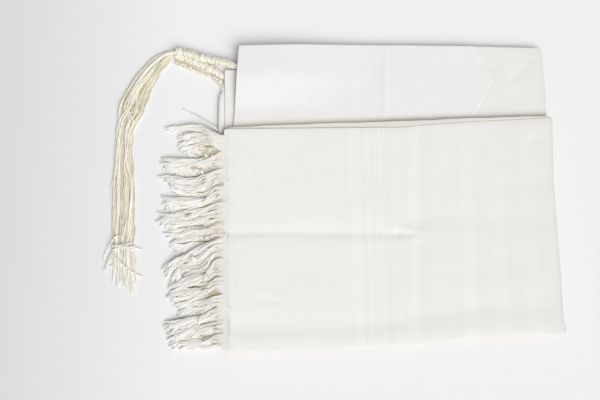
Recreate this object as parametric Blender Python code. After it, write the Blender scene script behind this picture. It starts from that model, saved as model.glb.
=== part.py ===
"""A tallit, the wool prayer shawl, folded into a flat pile that lies on a surface.

The pile rests on z = 0. Its long side runs along X and its neck edge is at +Y. The hidden layers
are one solid with rounded, layered edges. The layers that show are walls of cloth on top of it.
The edge fringe hangs out on the -X side, and two corner fringes, the tzitzit, lie beyond it.
Lengths are in metres.
"""

import math
import random
from collections import namedtuple

import bmesh
import bpy
import numpy as np
from mathutils import Vector

MM = 0.001
CLEARANCE = 0.3 * MM  # what parts one piece of cloth from the next

# Heights in the pile.
NECK_LAYERS_TOP = 7.0 * MM
NECK_PANEL_TOP = 8.7 * MM
NECK_BAND_THICKNESS = 0.9 * MM
PILE_LAYERS_TOP = 14.2 * MM
FRONT_PANEL_TOP = 16.7 * MM
CORNER_REST = 4.2 * MM  # where the cloth's corner and the corner fringe's root lie between layers

# Outlines from above. Columns: x, y for a front or back line, and y, x for a left or right line.
PILE_FRONT = ((-0.1505, -0.2220), (-0.1000, -0.2220), (-0.0220, -0.2190), (0.0930, -0.2130),
              (0.1600, -0.2070), (0.1950, -0.2020), (0.2600, -0.1990), (0.3220, -0.1965))
PILE_BACK = ((-0.1560, 0.0950), (0.0980, 0.0975), (0.1360, 0.1010), (0.2050, 0.1060),
             (0.2510, 0.1080), (0.3180, 0.1120))
PILE_LEFT = ((-0.2220, -0.1505), (0.0950, -0.1560))
PILE_RIGHT = ((-0.1970, 0.3225), (-0.1890, 0.3235), (-0.1790, 0.3200), (-0.1160, 0.3195),
              (-0.0660, 0.3175), (-0.0200, 0.3165), (0.0220, 0.3155), (0.1120, 0.3175))
LAYER_EDGE = ((-0.1560, 0.0985), (-0.0955, 0.1020), (0.0700, 0.1070), (0.2050, 0.1125),
              (0.3180, 0.1170))
NECK_FRONT = ((-0.1600, 0.0925), (0.0700, 0.1000), (0.3180, 0.1100))
NECK_BACK = ((-0.1360, 0.2200), (-0.0460, 0.2225), (0.0860, 0.2230), (0.2090, 0.2215),
             (0.3090, 0.2190))
NECK_LEFT = ((0.0930, -0.1440), (0.1150, -0.1420), (0.1830, -0.1385), (0.2200, -0.1360))
NECK_RIGHT = ((0.1100, 0.3110), (0.1500, 0.3120), (0.1940, 0.3100), (0.2200, 0.3085))
BAND_POINT = ((0.0950, 0.2000), (0.1170, 0.2060), (0.1340, 0.2155), (0.1700, 0.2375),
              (0.2040, 0.2175), (0.2210, 0.2095))

# The folds that stick out at the sides of the hidden layers, from the lowest up. Each row is one
# fold: the height of its top, and how far it stays back from each side of the outline.
Fold = namedtuple("Fold", "top left right front back")
PILE_FOLDS = (
    Fold(2.9 * MM, 0.0040, 0.0022, 0.0030, 0.0200),
    Fold(5.9 * MM, 0.0030, 0.0008, 0.0012, 0.0200),
    Fold(8.4 * MM, 0.0040, 0.0030, 0.0024, 0.0120),
    Fold(10.5 * MM, 0.0034, 0.0018, 0.0008, 0.0120),
    Fold(12.5 * MM, 0.0030, 0.0006, 0.0020, 0.0000),
    Fold(PILE_LAYERS_TOP, 0.0036, 0.0020, 0.0010, 0.0034),
)
NECK_FOLDS = (
    Fold(2.1 * MM, 0.0040, 0.0024, 0.0000, 0.0020),
    Fold(CORNER_REST, 0.0024, 0.0008, 0.0000, 0.0036),
    Fold(NECK_LAYERS_TOP, 0.0014, 0.0020, 0.0000, 0.0012),
)
FOLD_GROOVE = 1.3 * MM  # how deep the groove between two folds is
FLOOR_GROOVE = 0.8 * MM  # how far the lowest fold rounds in at the floor
FOLD_FULL = (0.28, 0.72)  # shares of a fold's thickness between which it stands full out
FOLD_STEPS = 4  # steps of the half round at a single panel's fold
CORNER_ROUNDING = 1.8 * MM  # how far a corner of the outline is drawn in
NECK_TUCK = 30.0 * MM  # how far the neck's layers reach in under the pile

# The root of the upper corner fringe lifts the neck panel's left end.
SWELL_HEIGHT = 5.2 * MM
SWELL_X = (-0.118, 0.082)  # full height before the first, none after the second
SWELL_Y = (0.118, 0.186)  # none before the first, full height after the second

# Folding creases. Each row is a soft trough along a line from start to end, or a ridge where the
# depth is below 0; width is the distance from its middle to where it has all but gone.
Crease = namedtuple("Crease", "start end depth width")
FRONT_CREASES = (
    Crease((-0.150, -0.060), (0.098, -0.060), 1.2 * MM, 0.0075),
    Crease((-0.150, -0.049), (0.090, -0.050), -0.5 * MM, 0.0100),
    Crease((0.098, -0.054), (0.122, -0.056), -0.7 * MM, 0.0090),
    Crease((0.124, -0.047), (0.229, -0.046), 0.8 * MM, 0.0130),
    Crease((-0.141, -0.187), (0.282, -0.164), 0.9 * MM, 0.0140),
    Crease((0.123, 0.085), (0.116, -0.205), 0.7 * MM, 0.0120),
    Crease((-0.101, -0.147), (-0.078, -0.152), -0.5 * MM, 0.0070),
)

# Where the lines of the panels' grids lie, as shares across and along, closer at a crease.
FRONT_COLUMNS = (0.0, 0.01, 0.08, 0.17, 0.26, 0.35, 0.44, 0.52, 0.555, 0.575, 0.595, 0.63, 0.70,
                 0.78, 0.86, 0.94, 0.99, 1.0)
FRONT_ROWS = (0.0, 0.012, 0.06, 0.09, 0.11, 0.13, 0.16, 0.22, 0.30, 0.38, 0.45, 0.48, 0.497, 0.515,
              0.535, 0.56, 0.62, 0.72, 0.82, 0.92, 0.988, 1.0)
BAND_ROWS = (0.0, 0.03, 0.13, 0.245, 0.40, 0.555, 0.70, 0.85, 0.97, 1.0)

# The hemmed corner of the cloth and the rolled fold that lie on the left of the neck panel.
CORNER_LEFT = ((0.0940, -0.1560), (0.1860, -0.1575))
CORNER_RIGHT = -0.105
CORNER_FRONT = 0.094
CORNER_HEM = 0.186
CORNER_THICKNESS = 1.8 * MM
ROLL_LEFT = ((0.0900, -0.1612), (0.0930, -0.1655), (0.1340, -0.1655), (0.1470, -0.1645),
             (0.1590, -0.1592))
ROLL_CREST = ((0.0900, 5.2 * MM), (0.0960, 7.6 * MM), (0.1400, 7.2 * MM), (0.1590, 4.9 * MM))
ROLL_STATIONS = 9
ROLL_RIGHT = -0.1578
ROLL_TUCK = 1.0 * MM  # how far it reaches in past the neck panel's left line
# The rolled fold's section outside the corner panel. Columns: share of the width from its left
# side, share of the crest's height.
ROLL_SECTION = ((1.00, 0.86), (0.78, 1.00), (0.34, 0.94), (0.06, 0.68), (0.00, 0.42),
                (0.10, 0.15), (0.30, 0.00))

# The passage in the neck's layers for the corner panel and the fringe's root.
PASSAGE_LEFT = -0.200
PASSAGE_RIGHT = -0.1045
PASSAGE_FRONT = 0.040
PASSAGE_BACK = 0.1985

# Edge fringe. Each row is one tassel: its root along the cloth's edge, its knot, the direction
# that its threads lie in (degrees from -X, positive towards +Y), how far they fan out to each
# side, and how far they reach past the knot.
Tassel = namedtuple("Tassel", "root_from root_to knot_x knot_y turn fan reach")
UPPER_TASSELS = (
    Tassel(0.0700, 0.0930, -0.1830, 0.0900, 4, 11, 0.050),
    Tassel(0.0190, 0.0640, -0.1890, 0.0440, -1, 12, 0.056),
    Tassel(-0.0380, 0.0110, -0.2010, -0.0240, 0, 18, 0.045),
    Tassel(-0.0840, -0.0460, -0.1900, -0.0790, -46, 11, 0.057),
    Tassel(-0.1420, -0.0920, -0.1890, -0.1350, -28, 12, 0.045),
    Tassel(-0.1900, -0.1500, -0.1820, -0.1830, -14, 9, 0.050),
    Tassel(-0.2180, -0.1980, -0.1750, -0.2070, -13, 9, 0.044),
)
LOWER_TASSELS = (
    Tassel(0.0420, 0.0700, -0.1790, 0.0640, 6, 7, 0.044),
    Tassel(0.0020, 0.0300, -0.2010, 0.0120, -10, 10, 0.026),
    Tassel(-0.0560, -0.0280, -0.1890, -0.0530, -11, 11, 0.042),
    Tassel(-0.1120, -0.0860, -0.1810, -0.1100, -32, 5, 0.034),
    Tassel(-0.1640, -0.1380, -0.1880, -0.1630, -19, 4, 0.036),
)
STRIP_WIDTH = 2.4 * MM
STRIP_THICKNESS = 1.3 * MM
UPPER_STRIP_HEIGHT = 15.4 * MM
LOWER_STRIP_HEIGHT = 4.4 * MM
STRIP_OVERHANG = 1.2 * MM  # past the roots at its two ends
UPPER_KNOT_RADIUS = 4.4 * MM
LOWER_KNOT_RADIUS = 3.2 * MM
UPPER_KNOT_COLUMNS = 3  # each column of a knot's end gives four threads
LOWER_KNOT_COLUMNS = 2
THREAD_RADIUS = 1.0 * MM
THREAD_LIFT = 2.3 * MM  # from the lower threads of a tassel to the upper ones
THREAD_BEND = 0.04  # of a thread's reach, at most
THREAD_REACH = (0.86, 1.04)  # shares of the tassel's reach
THREAD_LANDING = 0.5  # the share of its way by which a thread has come down to the floor
FLOOR_CLEARANCE = 0.6 * MM
HEAD_LANDING = 0.9  # the share of a head's way by which it has come down
HEAD_TURN = 0.5  # the share of its way from which it turns the way its threads lie
# A tassel's head, from the strip to the end of its knot. Columns: share of the way, how much of
# the root's width is left, how much of the knot's radius it has across and upright, roundness.
Section = namedtuple("Section", "share root across upright round")
HEAD_SECTIONS = (
    Section(0.22, 0.72, 0.00, 0.28, 0.0),
    Section(0.48, 0.34, 0.35, 0.45, 0.3),
    Section(0.72, 0.08, 0.68, 0.62, 0.8),
    Section(0.84, 0.00, 0.74, 0.66, 1.0),
    Section(0.93, 0.00, 1.10, 0.92, 1.0),
    Section(1.04, 0.00, 1.12, 0.94, 1.0),
    Section(1.14, 0.00, 0.86, 0.78, 1.0),
)
# A thread, from the knot to its tip. Columns: share of the way, share of its full radius.
THREAD_SECTIONS = ((0.10, 0.50), (0.28, 0.80), (0.55, 1.00), (0.82, 1.00), (1.00, 0.70))

# Corner fringes. Columns of a head's route: x, y, z, radius. A route runs from the hidden root.
UPPER_HEAD = ((-0.1130, 0.1925, 8.3 * MM, 3.2 * MM), (-0.1390, 0.1920, 8.3 * MM, 3.3 * MM),
              (-0.1570, 0.1980, 7.2 * MM, 3.9 * MM), (-0.1870, 0.2065, 5.2 * MM, 4.1 * MM),
              (-0.2130, 0.2150, 6.1 * MM, 4.1 * MM), (-0.2240, 0.2165, 7.8 * MM, 3.6 * MM))
LOWER_HEAD = ((-0.1450, 0.1690, 2.3 * MM, 1.6 * MM), (-0.1590, 0.1735, 2.5 * MM, 1.8 * MM),
              (-0.1680, 0.1770, 3.6 * MM, 2.9 * MM), (-0.1790, 0.1820, 4.6 * MM, 3.9 * MM),
              (-0.2010, 0.1910, 5.3 * MM, 4.1 * MM), (-0.2170, 0.1960, 4.8 * MM, 3.8 * MM),
              (-0.2270, 0.1970, 3.8 * MM, 2.9 * MM))
HEAD_SIDES = 8
WINDING_RINGS = 46  # every second ring is the crest of a winding
KNOT_PLACES = (0.04, 0.21, 0.41, 0.68, 0.97)  # shares of the head's length, between windings
KNOT_REACH = 0.045  # half of a knot's length, in the same shares
KNOT_SWELL = 0.16  # of the radius
WINDING_DEPTH = 0.08  # of the radius

# The bundle that the loose strings make. Columns: x, y, half of the bundle's width.
BUNDLE = ((-0.2250, 0.2070, 0.0095), (-0.2450, 0.1950, 0.0130), (-0.2670, 0.1720, 0.0150),
          (-0.2870, 0.1430, 0.0140), (-0.2990, 0.1180, 0.0125), (-0.3020, 0.0960, 0.0110),
          (-0.3030, 0.0520, 0.0120), (-0.3035, 0.0080, 0.0145), (-0.3030, -0.0290, 0.0155),
          (-0.3015, -0.0680, 0.0120), (-0.2985, -0.1000, 0.0160), (-0.2960, -0.1340, 0.0200))
STRING_RADIUS = 1.1 * MM
STRING_SHARES = (0.012, 0.045, 0.09, 0.15, 0.21, 0.28, 0.35, 0.43, 0.51, 0.59, 0.67, 0.75, 0.83,
                 0.92, 1.0)
BUNDLE_PLACES = 60  # how finely the bundle's curve is read
UPPER_STRING_HEIGHT = 5.4 * MM
LOWER_STRING_HEIGHT = 1.7 * MM
STRING_SHORTFALL = 0.12  # how much of the bundle the shortest string leaves out
STRING_GATHER = 0.10  # the share of the bundle by which each string lies in its own lane
STRING_ROOT = 0.4  # of the radius
STRING_TIP = 0.75  # of the radius
# How the strings sway together. Columns: shares of half the bundle, waves along it, start.
SWAYS = ((0.06, 9.0, 1.5), (0.05, 21.0, 0.0))


AREA_PASSES = 8  # passes in which a place between curved lines settles
CURVE_STEPS = 12  # steps between two rows of a smooth route's table
CREASE_FALL = 3.0  # how much of a crease is gone at its width, as a power of e


def read(table, place, column=1):
    """The value in a column of a table at a place in its first column."""
    known = [row[0] for row in table]
    return float(np.interp(place, known, [row[column] for row in table]))


def ease(start, end, value):
    """0 before start and 1 after end, with a soft turn at both."""
    share = min(1.0, max(0.0, (value - start) / (end - start)))
    return share * share * (3.0 - 2.0 * share)


class Area:
    """A four-sided area seen from above, between four lines."""

    def __init__(self, left, right, front, back):
        self.left = left
        self.right = right
        self.front = front
        self.back = back

    def at(self, across, along, inset):
        """x and y at two shares of the area, whose sides stay back by the insets."""
        x = y = 0.0
        for _ in range(AREA_PASSES):
            low_x = read(self.left, y) + inset.left
            high_x = read(self.right, y) - inset.right
            x = low_x + across * (high_x - low_x)
            low_y = read(self.front, x) + inset.front
            high_y = read(self.back, x) - inset.back
            y = low_y + along * (high_y - low_y)
        return x, y


# How far a solid's sides stay back at one level, which is a share of its thickness, or a height
# above the floor for the layered solids.
Inset = namedtuple("Inset", "level left right front back")


def layered_sides(folds):
    """Insets by height, for folds that lie on each other with a groove between them."""
    sides = []
    bottom = 0.0
    for number, fold in enumerate(folds):
        thick = fold.top - bottom
        groove = FOLD_GROOVE if number else FLOOR_GROOVE
        for share, depth in ((0.0, groove), (FOLD_FULL[0], 0.0), (FOLD_FULL[1], 0.0)):
            sides.append(Inset(bottom + share * thick, *(side + depth for side in fold[1:])))
        bottom = fold.top
    last = folds[-1]
    sides.append(Inset(last.top, *(side + FOLD_GROOVE for side in last[1:])))
    return sides


def folded_sides(radius, left=1, right=1, front=1, back=1):
    """Insets from the bottom up, half round on each side that is a fold and upright elsewhere."""
    sides = []
    for step in range(FOLD_STEPS + 1):
        angle = math.pi * (step / FOLD_STEPS - 0.5)
        depth = radius * (1.0 - math.cos(angle))
        level = 0.5 + 0.5 * math.sin(angle)
        sides.append(Inset(level, left * depth, right * depth, front * depth, back * depth))
    return sides


def shares(count, near=0.02):
    """Places from 0 to 1, with one close to each end."""
    return [0.0] + [near + (1.0 - 2.0 * near) * step / count for step in range(count + 1)] + [1.0]


def rim(columns, rows):
    """The outer points of a grid, once round."""
    last_column = len(columns) - 1
    last_row = len(rows) - 1
    points = [(column, 0) for column in range(last_column)]
    points += [(last_column, row) for row in range(last_row)]
    points += [(column, last_row) for column in range(last_column, 0, -1)]
    points += [(0, row) for row in range(last_row, 0, -1)]
    return points


def skin(mesh, low, high):
    """Faces between two closed loops of vertices."""
    for number, corner in enumerate(low):
        after = (number + 1) % len(low)
        mesh.faces.new((corner, low[after], high[after], high[number]))


def grid_cap(mesh, loop, columns, rows, place):
    """Closes a loop that lies on a grid's rim with the rest of the grid."""
    corners = dict(zip(rim(columns, rows), loop))
    for column in range(1, len(columns) - 1):
        for row in range(1, len(rows) - 1):
            corners[column, row] = mesh.verts.new(place(columns[column], rows[row]))
    for column in range(len(columns) - 1):
        for row in range(len(rows) - 1):
            mesh.faces.new((corners[column, row], corners[column + 1, row],
                            corners[column + 1, row + 1], corners[column, row + 1]))


def cloth_solid(area, sides, columns, rows, height, even_base):
    """A closed mesh over an area, with z from height(x, y, level of an inset)."""
    mesh = bmesh.new()
    ends = {(c, r) for c in (0, len(columns) - 1) for r in (0, len(rows) - 1)}
    levels = []
    for inset in sides:
        drawn_in = Inset(inset.level, *(side + CORNER_ROUNDING for side in inset[1:]))
        corners = []
        for column, row in rim(columns, rows):
            used = drawn_in if (column, row) in ends else inset
            x, y = area.at(columns[column], rows[row], used)
            corners.append(mesh.verts.new((x, y, height(x, y, inset.level))))
        levels.append(corners)
    for low, high in zip(levels, levels[1:]):
        skin(mesh, low, high)

    def place(inset):
        def on_grid(across, along):
            x, y = area.at(across, along, inset)
            return x, y, height(x, y, inset.level)
        return on_grid

    grid_cap(mesh, levels[-1], columns, rows, place(sides[-1]))
    if even_base:
        mesh.faces.new(levels[0])
    else:
        grid_cap(mesh, levels[0], columns, rows, place(sides[0]))
    return mesh


def make_material(name, colour, roughness):
    material = bpy.data.materials.new(name)
    material.use_nodes = True
    shader = material.node_tree.nodes["Principled BSDF"]
    shader.inputs["Base Color"].default_value = (*colour, 1.0)
    shader.inputs["Roughness"].default_value = roughness
    shader.inputs["Metallic"].default_value = 0.0
    return material


def make_object(name, mesh, material):
    """Turns a mesh that is being edited into a named object, with its faces pointing out."""
    bmesh.ops.recalc_face_normals(mesh, faces=mesh.faces)
    data = bpy.data.meshes.new(name)
    mesh.to_mesh(data)
    mesh.free()
    data.shade_smooth()
    data.set_sharp_from_angle(angle=math.radians(40))
    data.materials.append(material)
    made = bpy.data.objects.new(name, data)
    bpy.context.scene.collection.objects.link(made)
    return made


def add_boolean(target, other, operation):
    """Joins or cuts with a guide object, which stays out of the render."""
    other.hide_render = True
    other.display_type = "WIRE"
    modifier = target.modifiers.new(operation.title(), "BOOLEAN")
    modifier.operation = operation
    modifier.object = other


def neck_swell(x, y):
    """How far the fringe's root lifts what lies over it."""
    along_x = 1.0 - ease(SWELL_X[0], SWELL_X[1], x)
    along_y = ease(SWELL_Y[0], SWELL_Y[1], y)
    return SWELL_HEIGHT * along_x * along_y


def crease_height(creases, x, y):
    """What a set of creases adds to a surface."""
    height = 0.0
    for crease in creases:
        start = Vector(crease.start)
        line = Vector(crease.end) - start
        share = (Vector((x, y)) - start).dot(line) / line.length_squared
        nearest = start + line * min(1.0, max(0.0, share))
        distance = (Vector((x, y)) - nearest).length / crease.width
        height -= crease.depth * math.exp(-CREASE_FALL * distance * distance)
    return height


def build_folded_layers(material):
    pile_area = Area(PILE_LEFT, PILE_RIGHT, PILE_FRONT, LAYER_EDGE)
    pile = cloth_solid(pile_area, layered_sides(PILE_FOLDS), shares(8, 0.012), shares(5, 0.02),
                       lambda x, y, z: z, even_base=True)
    layers = make_object("folded_layers", pile, material)

    def lifted(x, y, z):
        share = max(0.0, z - CORNER_REST) / (NECK_LAYERS_TOP - CORNER_REST)
        return z + share * neck_swell(x, y)

    hidden_front = tuple((x, y - NECK_TUCK) for x, y in NECK_FRONT)
    neck_area = Area(NECK_LEFT, NECK_RIGHT, hidden_front, NECK_BACK)
    neck = cloth_solid(neck_area, layered_sides(NECK_FOLDS), shares(8, 0.012), shares(6, 0.03),
                       lifted, even_base=True)
    neck_guide = make_object("neck_layers_guide", neck, material)
    add_boolean(neck_guide, build_passage_guide(material), "DIFFERENCE")
    add_boolean(layers, neck_guide, "UNION")


def build_passage_guide(material):
    """The space between two layers that the cloth's corner and the fringe's root go into."""
    mesh = bmesh.new()
    plan = ((PASSAGE_LEFT, PASSAGE_FRONT), (PASSAGE_RIGHT, PASSAGE_FRONT),
            (PASSAGE_RIGHT, PASSAGE_BACK), (PASSAGE_LEFT, PASSAGE_BACK))
    bottom = [mesh.verts.new((x, y, CORNER_REST)) for x, y in plan]
    top = [mesh.verts.new((x, y, 2.0 * FRONT_PANEL_TOP)) for x, y in plan]
    skin(mesh, bottom, top)
    mesh.faces.new(bottom)
    mesh.faces.new(top)
    return make_object("passage_guide", mesh, material)


def build_front_panel(material):
    base = PILE_LAYERS_TOP + CLEARANCE
    area = Area(PILE_LEFT, PILE_RIGHT, PILE_FRONT, PILE_BACK)

    def height(x, y, level):
        top = FRONT_PANEL_TOP + crease_height(FRONT_CREASES, x, y)
        return base + level * (top - base)

    sides = folded_sides((FRONT_PANEL_TOP - base) / 2, left=0)
    mesh = cloth_solid(area, sides, FRONT_COLUMNS, FRONT_ROWS, height, even_base=True)
    make_object("front_panel", mesh, material)


def build_neck_panel(material):
    base = NECK_LAYERS_TOP + CLEARANCE
    thickness = NECK_PANEL_TOP - base
    area = Area(NECK_LEFT, NECK_RIGHT, NECK_FRONT, NECK_BACK)
    mesh = cloth_solid(area, folded_sides(thickness / 2, front=0), shares(12), shares(6),
                       lambda x, y, level: base + level * thickness + neck_swell(x, y),
                       even_base=False)
    make_object("neck_panel", mesh, material)


def build_neck_band(material):
    base = NECK_PANEL_TOP + CLEARANCE
    area = Area(NECK_LEFT, BAND_POINT, NECK_FRONT, NECK_BACK)
    sides = folded_sides(NECK_BAND_THICKNESS / 2, front=0)
    mesh = cloth_solid(area, sides, shares(10), BAND_ROWS,
                       lambda x, y, level: base + level * NECK_BAND_THICKNESS + neck_swell(x, y),
                       even_base=False)
    make_object("neck_band", mesh, material)


def build_corner_panel(material):
    base = CORNER_REST + CLEARANCE
    right = ((CORNER_FRONT, CORNER_RIGHT), (CORNER_HEM, CORNER_RIGHT))
    front = ((CORNER_RIGHT, CORNER_FRONT),)
    back = ((CORNER_RIGHT, CORNER_HEM),)
    mesh = cloth_solid(Area(CORNER_LEFT, right, front, back),
                       folded_sides(CORNER_THICKNESS / 2, right=0, front=0),
                       shares(3, 0.06), shares(4, 0.04),
                       lambda x, y, level: base + level * CORNER_THICKNESS, even_base=True)
    make_object("corner_panel", mesh, material)


def build_rolled_fold(material):
    """A layer that lies under the corner panel and rolls over beside it."""
    mesh = bmesh.new()
    loops = []
    for step in range(ROLL_STATIONS):
        share = step / (ROLL_STATIONS - 1)
        y = ROLL_LEFT[0][0] + share * (ROLL_LEFT[-1][0] - ROLL_LEFT[0][0])
        left = read(ROLL_LEFT, y)
        crest = read(ROLL_CREST, y)
        hidden = read(NECK_LEFT, y) + ROLL_TUCK
        section = [(hidden, 0.0), (hidden, CORNER_REST), (ROLL_RIGHT, CORNER_REST)]
        for across, upright in ROLL_SECTION:
            section.append((left + across * (ROLL_RIGHT - left), upright * crest))
        loops.append([mesh.verts.new((x, y, z)) for x, z in section])
    for low, high in zip(loops, loops[1:]):
        skin(mesh, low, high)
    mesh.faces.new(loops[0])
    mesh.faces.new(loops[-1])
    make_object("rolled_fold", mesh, material)


def on_disc(across, upright, roundness):
    """A point of a square of half side 1, moved towards its place on a disc."""
    disc_across = across * math.sqrt(1.0 - upright * upright / 2.0)
    disc_upright = upright * math.sqrt(1.0 - across * across / 2.0)
    return (across + roundness * (disc_across - across),
            upright + roundness * (disc_upright - upright))


def knot_grid(columns):
    """Places on a tassel's section, as column and row: its outline once round, and its middle."""
    spread = [2.0 * column / columns - 1.0 for column in range(columns + 1)]
    outline = [(across, 1.0) for across in spread] + [(1.0, 0.0)]
    outline += [(across, -1.0) for across in reversed(spread)] + [(-1.0, 0.0)]
    return spread, outline


def aside(run):
    """The level direction to the right of a run."""
    return Vector((run.y, -run.x, 0.0)).normalized()


def grow_thread(mesh, corners, heading, stations):
    """A thread out of a triangle of vertices, through stations of a centre and a radius."""
    middle = sum((corner.co for corner in corners), Vector()) / len(corners)
    spokes = []
    for corner in corners:
        spoke = corner.co - middle
        spokes.append(Vector((spoke.dot(aside(heading)), spoke.z)).normalized())
    centres = [middle] + [centre for centre, _ in stations]
    loop = corners
    for number, (centre, radius) in enumerate(stations):
        across = aside(centres[min(number + 2, len(stations))] - centres[number])
        ring = []
        for level, upright in spokes:
            offset = across * level + Vector((0.0, 0.0, upright))
            ring.append(mesh.verts.new(centre + offset * radius))
        skin(mesh, loop, ring)
        loop = ring
    mesh.faces.new(loop)


def thread_stations(start, heading, reach, floor_height, bend):
    """Where a thread of a tassel runs: it fans out from the knot and comes down to the floor."""
    stations = []
    for share, thickness in THREAD_SECTIONS:
        centre = start + heading * reach * share - aside(heading) * bend * math.sin(math.pi * share)
        centre.z = start.z + (floor_height - start.z) * ease(0.0, THREAD_LANDING, share)
        stations.append((centre, THREAD_RADIUS * thickness))
    return stations


def add_tassel(mesh, tassel, root, columns, knot_radius, strip_height, chance):
    """A tassel's head and its threads. root holds the strip's own vertices for the outline."""
    spread, outline = knot_grid(columns)
    root_y = (tassel.root_from + tassel.root_to) / 2
    start = Vector((root[0].co.x, root_y, strip_height))
    knot = Vector((tassel.knot_x, tassel.knot_y, FLOOR_CLEARANCE + knot_radius))
    path = knot - start
    turn = math.radians(tassel.turn)
    half_root = (tassel.root_to - tassel.root_from) / 2

    def section_point(section, across, upright):
        centre = start + path * section.share
        centre.z = start.z + path.z * ease(0.0, HEAD_LANDING, section.share)
        across, upright = on_disc(across, upright, section.round)
        half_wide = section.root * half_root + section.across * knot_radius
        angle = turn * ease(HEAD_TURN, 1.0, section.share)
        lean = Vector((math.sin(angle), math.cos(angle), 0.0))
        return centre + lean * across * half_wide + Vector((0, 0, 1)) * upright * (
            section.upright * knot_radius)

    loop = root
    for section in HEAD_SECTIONS:
        ring = [mesh.verts.new(section_point(section, *place)) for place in outline]
        skin(mesh, loop, ring)
        loop = ring

    last = HEAD_SECTIONS[-1]
    cells = dict(zip(outline, loop))
    for across in spread[1:-1]:
        cells[across, 0.0] = mesh.verts.new(section_point(last, across, 0.0))
    lanes = 2 * columns
    bend = chance.uniform(-1.0, 1.0) * THREAD_BEND * tassel.reach
    for row, (low, high) in enumerate(((-1.0, 0.0), (0.0, 1.0))):
        for column in range(columns):
            near, far = spread[column], spread[column + 1]
            first = (cells[near, low], cells[far, low], cells[near, high])
            second = (cells[far, low], cells[far, high], cells[near, high])
            for half, corners in enumerate((first, second)):
                lane = (2 * column + half + 0.5 * row + 0.25) / lanes * 2.0 - 1.0
                angle = turn + math.radians(tassel.fan) * lane
                heading = Vector((-math.cos(angle), math.sin(angle), 0.0))
                reach = tassel.reach * chance.uniform(*THREAD_REACH)
                height = FLOOR_CLEARANCE + THREAD_RADIUS + row * THREAD_LIFT
                middle = sum((corner.co for corner in corners), Vector()) / 3
                grow_thread(mesh, corners, heading,
                            thread_stations(middle, heading, reach, height, bend))


def build_fringe(name, material, tassels, set_back, strip_height, columns, knot_radius, seed):
    """A strip along the cloth's cut edge, with the tassels that its threads are knotted into."""
    mesh = bmesh.new()
    chance = random.Random(seed)
    half = STRIP_THICKNESS / 2
    ends = sorted(tassels, key=lambda tassel: tassel.root_from)
    stations = [(ends[0].root_from - STRIP_OVERHANG, False)]
    for tassel in ends:
        width = tassel.root_to - tassel.root_from
        for column in range(columns + 1):
            place = tassel.root_from + width * column / columns
            stations.append((place, column in (0, columns)))
    stations.append((ends[-1].root_to + STRIP_OVERHANG, False))
    rows = []
    for y, has_middle in stations:
        right = read(PILE_LEFT, y) + set_back - CLEARANCE
        left = right - STRIP_WIDTH
        row = {"right_top": mesh.verts.new((right, y, strip_height + half)),
               "right_bottom": mesh.verts.new((right, y, strip_height - half)),
               "left_top": mesh.verts.new((left, y, strip_height + half)),
               "left_bottom": mesh.verts.new((left, y, strip_height - half))}
        row["left"] = [row["left_top"], row["left_bottom"]]
        if has_middle:
            row["left"].insert(1, mesh.verts.new((left, y, strip_height)))
        rows.append(row)
    for number, (near, far) in enumerate(zip(rows, rows[1:])):
        for first, second in (("right_bottom", "right_top"), ("right_top", "left_top"),
                              ("left_bottom", "right_bottom")):
            mesh.faces.new((near[first], near[second], far[second], far[first]))
        if number % (columns + 1) == 0:
            mesh.faces.new(near["left"] + far["left"][::-1])
    for row in (rows[0], rows[-1]):
        mesh.faces.new([row["right_top"]] + row["left"] + [row["right_bottom"]])
    for number, tassel in enumerate(ends):
        own = rows[1 + number * (columns + 1):][:columns + 1]
        root = [row["left_top"] for row in own] + [own[-1]["left"][1]]
        root += [row["left_bottom"] for row in reversed(own)] + [own[0]["left"][1]]
        add_tassel(mesh, tassel, root, columns, knot_radius, strip_height, chance)
    make_object(name, mesh, material)


def smooth_route(points, count):
    """Places on a curve through rows of numbers, evenly spread along it."""
    rows = [Vector(point) for point in points]
    rows = [2 * rows[0] - rows[1]] + rows + [2 * rows[-1] - rows[-2]]
    curve = []
    for number in range(1, len(rows) - 2):
        before, start, end, after = rows[number - 1:number + 3]
        for step in range(CURVE_STEPS):
            share = step / CURVE_STEPS
            curve.append(0.5 * (2 * start + (end - before) * share
                                + (2 * before - 5 * start + 4 * end - after) * share ** 2
                                + (3 * start - before - 3 * end + after) * share ** 3))
    curve.append(rows[-2])
    table = np.array(curve)
    steps = np.linalg.norm(np.diff(table[:, :2], axis=0), axis=1)
    length = np.concatenate(([0.0], np.cumsum(steps)))
    wanted = np.linspace(0.0, length[-1], count)
    return np.column_stack([np.interp(wanted, length, column) for column in table.T])


def head_radius(radius, ring, last_ring):
    """The radius of a wound head: a knot between each two runs of windings."""
    share = ring / last_ring
    if any(abs(share - place) < KNOT_REACH for place in KNOT_PLACES):
        return radius * (1.0 + KNOT_SWELL)
    return radius * (1.0 + (WINDING_DEPTH if ring % 2 else -WINDING_DEPTH))


def string_stations(root, heading, lane, string_height, shortfall):
    """Where a loose string runs: from its root into its own lane of the bundle."""
    route = smooth_route(BUNDLE, BUNDLE_PLACES)
    stations = []
    for full_share in STRING_SHARES:
        share = full_share * (1.0 - shortfall)
        place = share * (BUNDLE_PLACES - 1)
        index = min(int(place), BUNDLE_PLACES - 2)
        step = route[index + 1] - route[index]
        x, y, half_width = route[index] + (place - index) * step
        sway = sum(depth * math.sin(waves * share + begin) for depth, waves, begin in SWAYS)
        target = Vector((x, y, 0.0)) - aside(Vector(step)) * half_width * (lane + sway)
        straight = root + heading * place * Vector(step[:2]).length
        gathered = ease(0.0, STRING_GATHER, share)
        centre = straight.lerp(target, gathered)
        centre.z = root.z + (string_height - root.z) * gathered
        thickness = STRING_ROOT + (1.0 - STRING_ROOT) * gathered
        stations.append((centre, STRING_RADIUS * thickness))
    stations[-1] = (centre, STRING_RADIUS * STRING_TIP)
    return stations


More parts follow.
